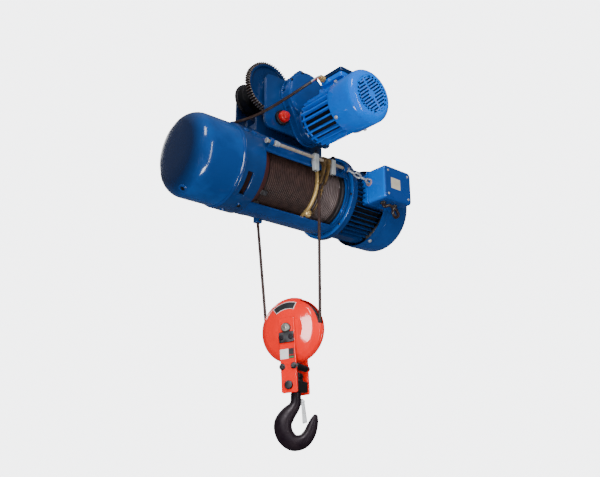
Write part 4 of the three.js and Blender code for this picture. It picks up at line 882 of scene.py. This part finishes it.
def cross_shafts():
    outer = PLATE["outer"]
    shaft = lathe(filleted([(0, -outer - 1), (11, -outer - 1), (11, outer + 1), (17, outer + 1),
                            (17, outer + 14, 2), (0, outer + 14)]), "y", 40)
    for name, x, washer_r in (("cross_shaft_left", -CROSS_SHAFT_X, 24),
                              ("cross_shaft_right", CROSS_SHAFT_X, 14.5)):
        washers = joined(disc("y", washer_r, -outer - 10, -outer - 0.3, 2, 40),
                         disc("y", 19, outer + 0.3, outer + 3, steps=40))
        make(name, moved(shaft, x, 0, CROSS_SHAFT_Z), STEEL)
        make(name + "_washers", moved(washers, x, 0, CROSS_SHAFT_Z), DARK_STEEL)
    top, foot = -outer - 32, -outer - 10
    cap = lathe(filleted([(0, top), (11, top, 3), (13, top + 9, 2), (17, top + 10, 2), (17, foot, 1),
                          (0, foot)]), "y", 48)
    rib = soft_box((-1.6, 1.6), (-1.4, 1.4), (14, 18), 1, "z")
    ribs = [standing(rib, (0, -outer - 16, 0), about_y(1, 36 * i)) for i in range(10)]
    make("red_shaft_cap", moved(joined(cap, *ribs), -CROSS_SHAFT_X, 0, CROSS_SHAFT_Z), CAP_RED, bevel=0.5)


def toothed_ring(teeth, tip_r, root_r, bore, phase=0.0):
    """A toothed rim, open in the middle, along Y."""
    step = 360 / teeth
    flank_r = (root_r + tip_r) / 2
    flanks = ((root_r, -0.32), (flank_r, -0.22), (tip_r, -0.11), (tip_r, 0.11), (flank_r, 0.22),
              (root_r, 0.32))
    outer = [polar(r, phase + step * (tooth + share)) for tooth in range(teeth) for r, share in flanks]
    inner = [polar(bore, phase + 360 * i / len(outer)) for i in range(len(outer))]
    rings = []
    for loop, y in ((inner, 0), (outer, 0), (outer, 1), (inner, 1)):
        rings.append([Vector((a, TOOTH_SPAN[y], b)) for a, b in loop])
    return skinned(rings, closed=True)


def wheels():
    """The near wheels carry the teeth; they are finer than the row's, at the same ratio to the pinion."""
    bore, hub_r, tooth_bore = 12.4, 24, 74
    disc_profile = filleted([(bore, -69, 1), (hub_r, -69, 2), (26, -62, 2), (34, -60, 2), (66, -59, 3),
                             (68, -65.6, 2), (75.4, -65.6, 1), (75.4, -47), (66, -47, 2), (64, -53, 3),
                             (30, -52, 3), (bore, -50)])
    for side_name, side in (("near", -1), ("far", 1)):
        tread = [(bore, 14, 1), (TREAD_R - 1, 14, 3), (TREAD_R, 40, 4), (54, 41, 2), (54, 46, 2),
                 (40, 47, 2), (36, 43, 3), (26, 43, 3), (hub_r, 66, 2), (bore, 66, 1)]
        body = lathe(filleted([(r, side * y, rounding) for r, y, rounding in tread]), "y", 72)
        for end_name, end in (("left", -1), ("right", 1)):
            name = f"wheel_{side_name}_{end_name}"
            at = (end * WHEEL_X, 0, TREAD_R)
            make(name, moved(body, *at), GREY_CAST, name)
            if side > 0:
                continue
            phase = 0 if end < 0 else 180 / WHEEL_TEETH
            rim = toothed_ring(WHEEL_TEETH, 83.2, 76.2, tooth_bore, phase)
            make(f"{name}_teeth", moved(rim, *at), RUSTY, name)
            make(f"{name}_disc", moved(lathe(disc_profile, "y"), *at), DEEP_BLUE, name)


def pinion():
    rim = toothed_ring(PINION_TEETH, 26.9, 19.8, 14, 180 / PINION_TEETH)
    shaft = disc("y", 14.2, -84, -49)
    make("trolley_drive_shaft", moved(joined(rim, shaft), 0, 0, TREAD_R), STEEL, "trolley_drive")


def hull_outline(a, b):
    """Round two circles (x, z, r), with straight sides between them."""
    dx, dz = b[0] - a[0], b[1] - a[1]
    along = math.degrees(math.atan2(dz, dx))
    swing = math.degrees(math.acos((a[2] - b[2]) / math.hypot(dx, dz)))
    return [*arc(a[:2], a[2], along + swing, along - swing + 360, 40),
            *arc(b[:2], b[2], along - swing, along + swing, 40)]


def trolley_reducer():
    layers = ((DISC_R - 0.5, 60, -112, -104), (DISC_R - 7, 54, -105, -86), (DISC_R - 1, 60, -87, -80.3))
    parts = [prism(hull_outline((DISC_X, DISC_Z, disc_r), (DRIVE_X, DRIVE_Z, seat_r)), "y", low, high)
             for disc_r, seat_r, low, high in layers]
    parts.append(changed(disc("y", 60, -124.7, -111, 2.5, 96), ON_DRIVE))
    rib = box((DISC_R - 12, DISC_R - 1.5), (-106, -84), (-3, 3))
    parts += [changed(spun(rib, -degrees, "Y"), ON_DISC)
              for degrees in (150, 172, 194, 216, 238, 120, 95, 60, 25, -10)]
    make("trolley_gear_case", joined(*parts), BLUE, bevel=2.0, segments=3)
    cover = filleted([(0, -124.7), (70, -124.7, 2), (72, -122.5, 1), (DISC_R, -122.5, 2.5),
                      (DISC_R, -112.3), (0, -112.3)])
    make("trolley_gear_cover", changed(lathe(cover, "y", 128), ON_DISC), BLUE)
    screws = [socket_screw(about_y(75.4, degrees, -122.6), (0, -1, 0), 3.6, 3.4)
              for degrees in (20, 65, 110, 155, 200, 245)]
    make("gear_cover_screws", changed(joined(*screws), ON_DISC), DARK_STEEL)
    lug = standing(soft_box((-9, 9), (-14, 14), (-6, 11), 6, "y"), (-20, -98, 76), (-0.25, 0, 1))
    breather = standing(disc("z", 5, 0, 10, 2, 24), (24, -98, 74), (0.3, 0, 1))
    make("case_lifting_lug", changed(joined(lug, breather), ON_DISC), BLUE, bevel=2)


def trolley_motor():
    root = DRIVE_ROOT_R
    housing = tube("y", root - 8, root, DRIVE_BACK, -136)
    make("trolley_motor_housing", changed(housing, ON_DRIVE), SHADOW_BLUE)
    rim = lathe(filleted([(root - 2, -150), (66, -148, 2), (66, -143, 2), (root - 2, -143)]), "y")
    terminal_box_side = (255, 285)
    fins = finned("y", (DRIVE_BACK + 2, -145), root - 3, DRIVE_TIP_R, 22, 6.6, 4.8, terminal_box_side)
    make("trolley_motor_frame", changed(joined(rim, fins), ON_DRIVE), AZURE)
    flange = lathe(filleted([(20, -137, 1), (62, -137, 3), (67, -134, 2), (67, -126, 3), (60, -125, 1),
                             (20, -125)]), "y")
    make("trolley_motor_flange", changed(flange, ON_DRIVE), BLUE)
    studs = [hex_bolt(about_y(64.5, 30 + 60 * i, -137), (0, -1, 0), 7, 4, washer=0) for i in range(6)]
    make("trolley_flange_bolts", changed(joined(*studs), ON_DRIVE), DARK_STEEL)


def trolley_fan():
    (front, back), cover_r, rounding, mouth = DRIVE_COVER, DRIVE_COVER_R, DRIVE_COVER_ROUNDING, 57
    centre = (cover_r - rounding, front + rounding)
    profile = [(mouth, front), *arc(centre, rounding, -90, 0, 12), (cover_r, back - 2), (cover_r - 1, back),
               (cover_r - 2.4, back), *arc(centre, rounding - 2.2, 0, -90, 12), (mouth, front + 2.2)]
    make("trolley_fan_cover", changed(lathe(profile, "y", 144), ON_DRIVE), AZURE)
    make("trolley_fan_grille", changed(slotted_face(mouth + 0.2, front, front + 2.2), ON_DRIVE), AZURE)
    # a dark disc behind the grille: painted shade seen through the slots
    make("trolley_grille_shade_disc", changed(disc("y", 62, front + 9, front + 12, steps=64), ON_DRIVE), FIN_BLUE)
    screws = [hex_bolt(about_y(cover_r, degrees, back - 12), about_y(1, degrees), 8, 3.5)
              for degrees in (45, 135, 225, 315)]
    make("trolley_cover_screws", changed(joined(*screws), ON_DRIVE), ZINC, bevel=0.3)


def slotted_face(r, low, high):
    """A round plate along Y whose field is cut by rows of slots, as bars between the slots."""
    pitch, bar = 9.2, 4.6
    rows = int(r // pitch)
    bars = []
    for row in range(-rows, rows + 1):
        middle = row * pitch
        half = math.sqrt(max(r * r - (abs(middle) + bar / 2) ** 2, 0)) + 1
        bars.append(box((-half, half), (low, high), (middle - bar / 2, middle + bar / 2)))
    bars.append(box((-3.2, 3.2), (low + 0.1, high - 0.1), (-r, r)))
    ring = tube("y", r - 6, r + 0.5, low, high, 0.3)
    hub = disc("y", 12, low - 0.3, high, 0.8)
    return joined(spun(joined(*bars), -42, "Y"), ring, hub)


def terminal_box():
    layers = (((-11, 65), (-283, -193), (24, 40), 8), ((0, 54), (-262, -172), (8, 26), 6),
              ((0, 54), (-266, -150), (-6, 12), 6))
    body = joined(*[soft_box(*layer, "z") for layer in layers])
    make("terminal_box", body, AZURE, bevel=1.6, segments=3)
    lid = soft_box((-14, 68), (-286, -190), (40, 54), 10, "z")
    make("terminal_lid", lid, DEEP_BLUE, bevel=3, segments=4)
    screws = [pan_screw((x, y, 54), (0, 0, 1), 3.8) for x in (-5, 59) for y in (-277, -199)]
    make("terminal_screws", joined(*screws), ZINC)
    gland = joined(tube("z", 5, 10.5, 0, 9, 1.5, 6), tube("z", 5, 8.5, 8, 17, 2, 32))
    make("terminal_gland", standing(gland, (-15, -214, 38), (-1, 0, 0.15)), BRASS, bevel=0.6)


def trolley_cables():
    for name, finish, dy, dz in (("wire_red", WIRE_RED, 0, 0), ("wire_green", WIRE_GREEN, 2.6, 2.4),
                                 ("wire_white", WIRE_WHITE, -2.4, 2.4)):
        knots = ((-26, -214 + dy, 40 + dz), (-38, -211 + 2 * dy, 36 + 2 * dz), (-52, -207 + dy, 24 + dz),
                 (-62, -204, 15))
        make(name, wire(smooth_path(knots, 8), 1.7, 10), finish)
    knots = ((-58, -205, 18), (-78, -188, -1), (-112, -150, -34), (-146, -104, -64), (-176, -70, -84),
             (-202, -40, -95), (-212, -8, -93), (-208, 22, -96), (-202, 44, -106))
    make("trolley_cable", wire(smooth_path(knots, 14), 4.4, 16), CABLE)
    make("cable_entry", standing(tube("z", 4.6, 10, -4, 12, 2, 24), knots[-1], (-0.1, -0.25, 1)), RUBBER)


def rope_anchor():
    x, y, z = ANCHOR
    socket = soft_box((x - 12, x + 12), (y - 10, y + 10), (z + 3, z + 24), 5, "z")
    make("rope_anchor", socket, BLUE, bevel=2, segments=3)
    pin = moved(disc("y", 4, y - 13, y + 13, 1.2, 24), x, 0, z + 10)
    make("rope_anchor_pin", pin, DARK_STEEL)


# ---- hook block
ACROSS = Vector((*polar(1, BLOCK_YAW), 0))  # from the far rope fall towards the near one
SHEAVE_CENTRE = Vector((ROPE_EXIT_X, -ROPE_CENTRE_R, SHEAVE_Z)) - SHEAVE_R * ACROSS
RISE, LEAN = polar(ABOVE_TRUNNION, BLOCK_TILT)
TRUNNION = SHEAVE_CENTRE - LEAN * ACROSS - Vector((0, 0, RISE))


def hanging(yaw, tilt=0):
    """A place at the trunnion, leant over and turned about the vertical."""
    turn = Matrix.Rotation(math.radians(yaw), 4, "Z") @ Matrix.Rotation(math.radians(tilt), 4, "Y")
    return Matrix.Translation(TRUNNION) @ turn


IN_BLOCK, IN_CROSSHEAD, IN_HOOK = hanging(BLOCK_YAW, BLOCK_TILT), hanging(BLOCK_YAW), hanging(HOOK_YAW)
ON_SHEAVE = IN_BLOCK @ Matrix.Translation((0, 0, ABOVE_TRUNNION))


def on_block(name, shape, finish, place=IN_BLOCK, **looks):
    make(name, changed(shape, place), finish, "hook_block", **looks)


def block_cover(side):
    """A dished cover. The front one is cut back along the rope's slot."""
    dish = [(14.5, 34), (44, 34.5, 20), (78, 26.5, 30)]
    lining = [(77, 24, 20), (44, 32, 20), (14.5, 31.5)]
    outer = filleted([*dish, (93, 14.5, 9), (97, 6.3, 3)], 8)
    whole = outer + filleted([(94.8, 6.3), (91, 13.4), *lining], 5)
    cut = filleted([*dish, (89, 18, 3), (86, 16.5, 1), *lining], 8)

    def turned(profile, steps, start, end):
        return lathe([(r, side * y) for r, y in profile], "y", steps, start, end)

    if side > 0:
        return turned(whole, 144, 0, 360)
    return joined(turned(whole, 120, ROPE_SLOT[1], 360 + ROPE_SLOT[0]), turned(cut, 26, *ROPE_SLOT))


def hook_block():
    outline = filleted([(-24, -21, 6), (24, -21, 6), (24, 191, 5), (-24, 191, 5)], 6)
    for name, side in (("front", -1), ("back", 1)):
        on_block(f"block_cover_{name}", block_cover(side), RED, ON_SHEAVE)
        plate = prism(outline, "y", *across_y(side, BLOCK_FACE - 8, BLOCK_FACE))
        on_block(f"block_plate_{name}", plate, RED, bevel=1.4, segments=3)
    band = filleted([(92.5, -6.1), (96.4, -6.1, 0.6), (96.4, 6.1, 0.6), (92.5, 6.1)])
    on_block("block_rim_band", lathe(band, "y", 96, 168, 360 + ROPE_SLOT[0]), RED, ON_SHEAVE)
    half = [(14.8, 18), (30, 18, 2), (32, 8, 3), (72, 5, 3), (80, 10.5, 1), (90, 10.5, 1.5), (81, 3.6, 2)]
    groove = [(r, -y, *rounding) for r, y, *rounding in half] + half[::-1]
    sheave = changed(lathe(filleted(groove), "y"), ON_SHEAVE)
    make("sheave", sheave, GREY_CAST, "sheave")
    axle = lathe(filleted([(0, -54), (11, -54, 1.5), (14, -51, 1.5), (14, 51, 1.5), (11, 54, 1.5),
                           (0, 54)]), "y", 48)
    centre_dot = lathe([(0, -54.4), (3.5, -54.4), (5.2, -53.6), (0, -53.6)], "y", 24)
    on_block("sheave_axle", joined(axle, centre_dot), AXLE_GREY, ON_SHEAVE)
    keeper_z, keeper_y = (ABOVE_TRUNNION - 42, ABOVE_TRUNNION - 12), -49.3
    on_block("axle_keeper", soft_box((-23, 23), (keeper_y, -44.3), keeper_z, 3, "y"), DARK_STEEL, bevel=1)
    bolts = [hex_bolt((x, keeper_y, sum(keeper_z) / 2), (0, -1, 0), 11, 5) for x in (-15, 15)]
    on_block("keeper_bolts", joined(*bolts), FORGED, bevel=0.4)
    for name, x in (("spacer_bolt_left", -18), ("spacer_bolt_right", 18)):
        bar = moved(disc("y", 9, -35.7, 35.7), x, 0, SPACER_Z)
        heads = [hex_bolt((x, side * BLOCK_FACE, SPACER_Z), (0, side, 0), 13, 6) for side in (-1, 1)]
        on_block(name, joined(bar, *heads), DARK_STEEL, bevel=0.5)


def arc_plate(inner_r, outer_r, start, end, lift):
    """A thin plate that follows the dished front cover between two angles in degrees."""
    section = [(r, LABEL_Y + (r - LABEL_FLAT_R) * LABEL_SLOPE - lift + depth)
               for r, depth in ((inner_r, 0), (outer_r, 0), (outer_r, 1.5), (inner_r, 1.5))]
    return lathe(section, "y", 24, start, end)


def block_labels():
    on_block("block_label_rim", arc_plate(58, 80, 70, 127, 0.3), WHITE_LABEL, ON_SHEAVE)
    on_block("block_label", arc_plate(59.5, 78.5, 71.2, 125.8, 0.9), DARK_LABEL, ON_SHEAVE)
    for name, finish, x, z, lift in (("block_sticker", WHITE_LABEL, (-23, 3), (73, 101), 0.6),
                                     ("block_data_plate", DARK_LABEL, (4, 20), (73, 101), 0.6),
                                     ("block_data_red", CAP_RED, (5, 19), (81, 84), 0.9),
                                     ("block_data_green", WIRE_GREEN, (5, 19), (75, 78), 0.9)):
        on_block(name, box(x, (-BLOCK_FACE - lift, -BLOCK_FACE + 0.5), z), finish)


def crosshead():
    block = prism(filleted([(-22, -15, 3), (22, -15, 3), (22, 15, 3), (-22, 15, 3)]), "y", -34.3, 34.3)
    pins = disc("y", 12, -51, 51, 2, 48)
    make("crosshead", changed(joined(block, pins), IN_CROSSHEAD), DARK_STEEL, "crosshead", bevel=1.5)
    races = [tube("z", 13.6, 20, *span, 0.8, 48) for span in ((15.3, 18.2), (20.4, 23))]
    ball = lathe([(0, -2.2), (1.5, -1.6), (2.2, 0), (1.5, 1.6), (0, 2.2)], "z", 12)
    balls = [moved(ball, *polar(17, 30 * i), 19.3) for i in range(12)]
    make("thrust_bearing", changed(joined(*races, *balls), IN_CROSSHEAD), DARK_STEEL, "crosshead")
    nut = hexagon((18.5, 23.3), (21, 24.5), (21, 34.5), (18.5, 36))
    make("hook_nut", changed(nut, IN_HOOK), DARK_STEEL, "hook", bevel=0.5)


# distance along the hook's own X, height, half width in its plane, half thickness
HOOK_STATIONS = (
    (0, 38, 13, 13), (0, 10, 13, 13), (0, -17, 13, 13), (0, -20, 14.4, 14.4), (0, -42, 15, 14.5),
    (-6, -58, 17, 15), (-23, -78, 22, 17.5), (-35.5, -102, 25, 20), (-31.5, -129, 25, 21),
    (-15, -148.5, 23.5, 21), (3, -153.5, 21.5, 20), (23, -147, 19.5, 18.5), (37.5, -130, 17.5, 16.5),
    (46, -110, 15.5, 14.5), (52, -92, 11.5, 11), (55.5, -80, 6.5, 7))
HOOK_SIDES, BOWL_TOP, BOWL_SWELL = 36, -60, 0.16  # below its top, the bowl is thicker on the inside


def hook_ring(station, before, after):
    x, z, wide, thick = station
    along = Vector((after.x - before.x, 0, after.y - before.y)).normalized()
    across = Vector((along.z, 0, -along.x))
    swell = BOWL_SWELL * min(1.0, (-40 - z) / 40) if z < BOWL_TOP else 0
    ring = []
    for k in range(HOOK_SIDES):
        sideways, out = polar(1, 360 * k / HOOK_SIDES)
        ring.append(Vector((x, thick * out * (1 - swell * sideways), z)) + wide * sideways * across)
    return ring


def middle_of(ring):
    return sum(ring, Vector()) / len(ring)


def hook():
    stations = smooth_path(HOOK_STATIONS, 7)
    last = len(stations) - 1
    rings = [hook_ring(station, stations[max(0, i - 1)], stations[min(last, i + 1)])
             for i, station in enumerate(stations)]
    tip = rings[-1]
    centre = middle_of(tip)
    forward = (centre - middle_of(rings[-2])).normalized()
    for shrink, push in ((0.86, 1.6), (0.55, 3.0), (0.15, 3.7)):
        rings.append([centre + (point - centre) * shrink + forward * push for point in tip])
    lug = filleted([(9, -52, 2), (23, -52, 5), (26, -40, 5), (20, -35, 4), (9, -34, 2)], 5)
    body = joined(skinned(rings), prism(lug, "y", -4, 4))
    make("hook", changed(body, IN_HOOK), FORGED, "hook", sharp=50)


def hook_latch():
    at_pivot = IN_HOOK @ Matrix.Translation((19, 0, -44))
    plate = prism(filleted([(5, 3), (13, -54), (10.6, -54.6), (2.6, 3)], 2), "y", -10, 10)
    ear = filleted([(-3, 6, 3), (5, 5, 2), (13, -54, 1), (0, -58, 3), (-3, -12, 5)])
    ears = [prism(ear, "y", *span) for span in ((-10, -8.2), (8.2, 10))]
    coil = [about_y(4.6, 30 * i, 4.4 + 1.6 * i / 60) for i in range(60)]
    for name, shape, finish, bevel in (("hook_latch", joined(plate, *ears), LATCH_METAL, 0.4),
                                       ("latch_pin", disc("y", 2.6, -10.5, 10.5, 0.8, 20), STEEL, 0),
                                       ("latch_spring", wire(coil, 0.7, 8), STEEL, 0)):
        make(name, changed(shape, at_pivot), finish, "hook_latch", bevel=bevel)


def rope_falls():
    near_top, far_top = Vector((ROPE_EXIT_X, -ROPE_CENTRE_R, DRUM_Z)), ANCHOR + Vector((0, 0, 8))
    for name, body, top, side, stands_for in (("near_rope_fall", "rope_guide", near_top, 1, "rope_falls"),
                                              ("far_rope_fall", "frame", far_top, -1, None)):
        bottom = SHEAVE_CENTRE + side * SHEAVE_R * ACROSS
        fall = make(name, rope(straight(top, bottom), FALL_R), ROPE, None, stands_for)
        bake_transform(fall)
    turn = [SHEAVE_CENTRE + a * ACROSS + Vector((0, 0, b)) for a, b in arc((0, 0), SHEAVE_R, 0, -180, 60)]
    make("rope_turn", rope(turn, FALL_R), ROPE, "hook_block")


def inner_pieces():
    """Hidden and inner pieces keep the shape they have in the row and get a finish."""
    cast = ("bearing_plate", "stator", "brake_fan")
    machined = ("middle_shaft", "first_gear", "first_pinion_shaft", "second_gear", "second_pinion_shaft",
                "output_gear", "output_shaft", "drum_bearing", "rotor", "coupling", "trolley_idler",
                "trolley_rotor")
    for names, finish in ((cast, GREY_CAST), (machined, STEEL)):
        for name in names:
            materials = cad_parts[name].data.materials
            materials.clear()
            materials.append(finish.material)


# ------------------------------------------------------------------ stage, in metres
OBJECT_MIDDLE = (0.1, 0.0, -0.4)
BACKDROP, SKY_HIGH, SKY_LOW, MIRRORED_SKY = 5.0, 0.50, 0.22, 0.30
FLOOR_HALF, FLOOR_Z = 14.0, -2.6
LENS, SENSOR_WIDTH, CAMERA_FROM_TROLLEY = 42.54, 36, Vector((-1.2689, -1.5906, -1.0837))
FORWARD, UP = Vector((0.6112, 0.7253, 0.3168)), Vector((-0.2041, -0.2423, 0.9485))


def soft_light(name, at, size, watts, towards=OBJECT_MIDDLE, mirrored=True, lighting=True):
    """An area light. One that isn't mirrored doesn't show in the gloss; one that isn't lighting shows
    only there."""
    lamp = bpy.data.lights.new(name, "AREA")
    lamp.shape = "RECTANGLE"
    lamp.size, lamp.size_y = size
    lamp.energy = watts
    holder = bpy.data.objects.new(name, lamp)
    holder.location = at
    holder.rotation_mode = "QUATERNION"
    holder.rotation_quaternion = (Vector(towards) - Vector(at)).to_track_quat("-Z", "Y")
    holder.visible_camera = False
    holder.visible_glossy = mirrored
    holder.visible_diffuse = lighting
    bpy.context.collection.objects.link(holder)


def world_light():
    """A white backdrop for the camera; a dimmer sky lights the object, brighter above than below."""
    world = bpy.data.worlds.new("studio")
    bpy.context.scene.world = world
    world.use_nodes = True
    tree = world.node_tree
    height = new_node(tree, "SeparateXYZ", {"Vector": new_node(tree, "TexCoord")["Generated"]})["Z"]
    ray = new_node(tree, "LightPath")
    mirrored = maths(tree, "MULTIPLY", ray["Is Glossy Ray"], 1.0 - MIRRORED_SKY)
    sky = maths(tree, "MULTIPLY", remapped(tree, height, -0.5, 0.9, SKY_LOW, SKY_HIGH),
                maths(tree, "SUBTRACT", 1.0, mirrored))
    behind = maths(tree, "MULTIPLY", ray["Is Camera Ray"], BACKDROP)
    shade = tree.nodes["Background"]
    feed(tree, shade.inputs["Color"], (0.97, 0.98, 1.0))
    feed(tree, shade.inputs["Strength"], maths(tree, "MAXIMUM", sky, behind))


def floor():
    mesh = bpy.data.meshes.new("floor")
    corners = [(x * FLOOR_HALF, y * FLOOR_HALF, FLOOR_Z) for x, y in ((-1, -1), (1, -1), (1, 1), (-1, 1))]
    mesh.from_pydata(corners, [], [(0, 1, 2, 3)])
    plane = bpy.data.objects.new("floor", mesh)
    bpy.context.collection.objects.link(plane)
    pale = bpy.data.materials.new("pale_floor")
    pale.use_nodes = True
    shader = pale.node_tree.nodes["Principled BSDF"]
    feed(pale.node_tree, shader.inputs["Base Color"], (0.86, 0.86, 0.86))
    feed(pale.node_tree, shader.inputs["Roughness"], 0.8)
    mesh.materials.append(pale)
    plane.visible_glossy = False


def camera():
    data = bpy.data.cameras.new("camera")
    data.lens = LENS
    data.sensor_width = SENSOR_WIDTH
    holder = bpy.data.objects.new("camera", data)
    bpy.context.collection.objects.link(holder)
    bpy.context.scene.camera = holder
    holder.location = TROLLEY_CENTRE + CAMERA_FROM_TROLLEY
    holder.rotation_mode = "QUATERNION"
    holder.rotation_quaternion = Matrix((FORWARD.cross(UP), UP, -FORWARD)).transposed().to_quaternion()


def lights():
    soft_light("key", (-2.6, -2.2, 1.5), (1.4, 1.4), 88, mirrored=False)
    soft_light("low_fill", (-2.0, -2.0, -1.6), (1.6, 1.6), 48, mirrored=False)
    soft_light("strip", (0.05, -2.5, -0.55), (0.16, 2.4), 30)
    soft_light("top_window", (-1.5, -2.0, 2.2), (0.5, 1.4), 40)
    soft_light("rim", (0.4, 3.0, 1.4), (2.4, 1.2), 60)
    soft_light("block_window", (-0.26, -0.26, -0.61), (0.13, 0.32), 5.0, (0.14, 0.01, -0.70),
               lighting=False)


LIFTING_UNIT = (drum_shell, hangers, rod_brackets, gearbox, gearbox_cover, motor_flange, lifting_motor,
                fan_cover, drum, wound_rope, rope_guide, limit_rod, limit_chain, switch_box)
TROLLEY = (side_plates, cross_shafts, wheels, pinion, trolley_reducer, trolley_motor, trolley_fan,
           terminal_box, trolley_cables, rope_anchor)
HOOK_BLOCK = (hook_block, block_labels, crosshead, hook, hook_latch, rope_falls)
for build in (*LIFTING_UNIT, *TROLLEY, *HOOK_BLOCK, inner_pieces, floor, world_light, lights, camera):
    build()
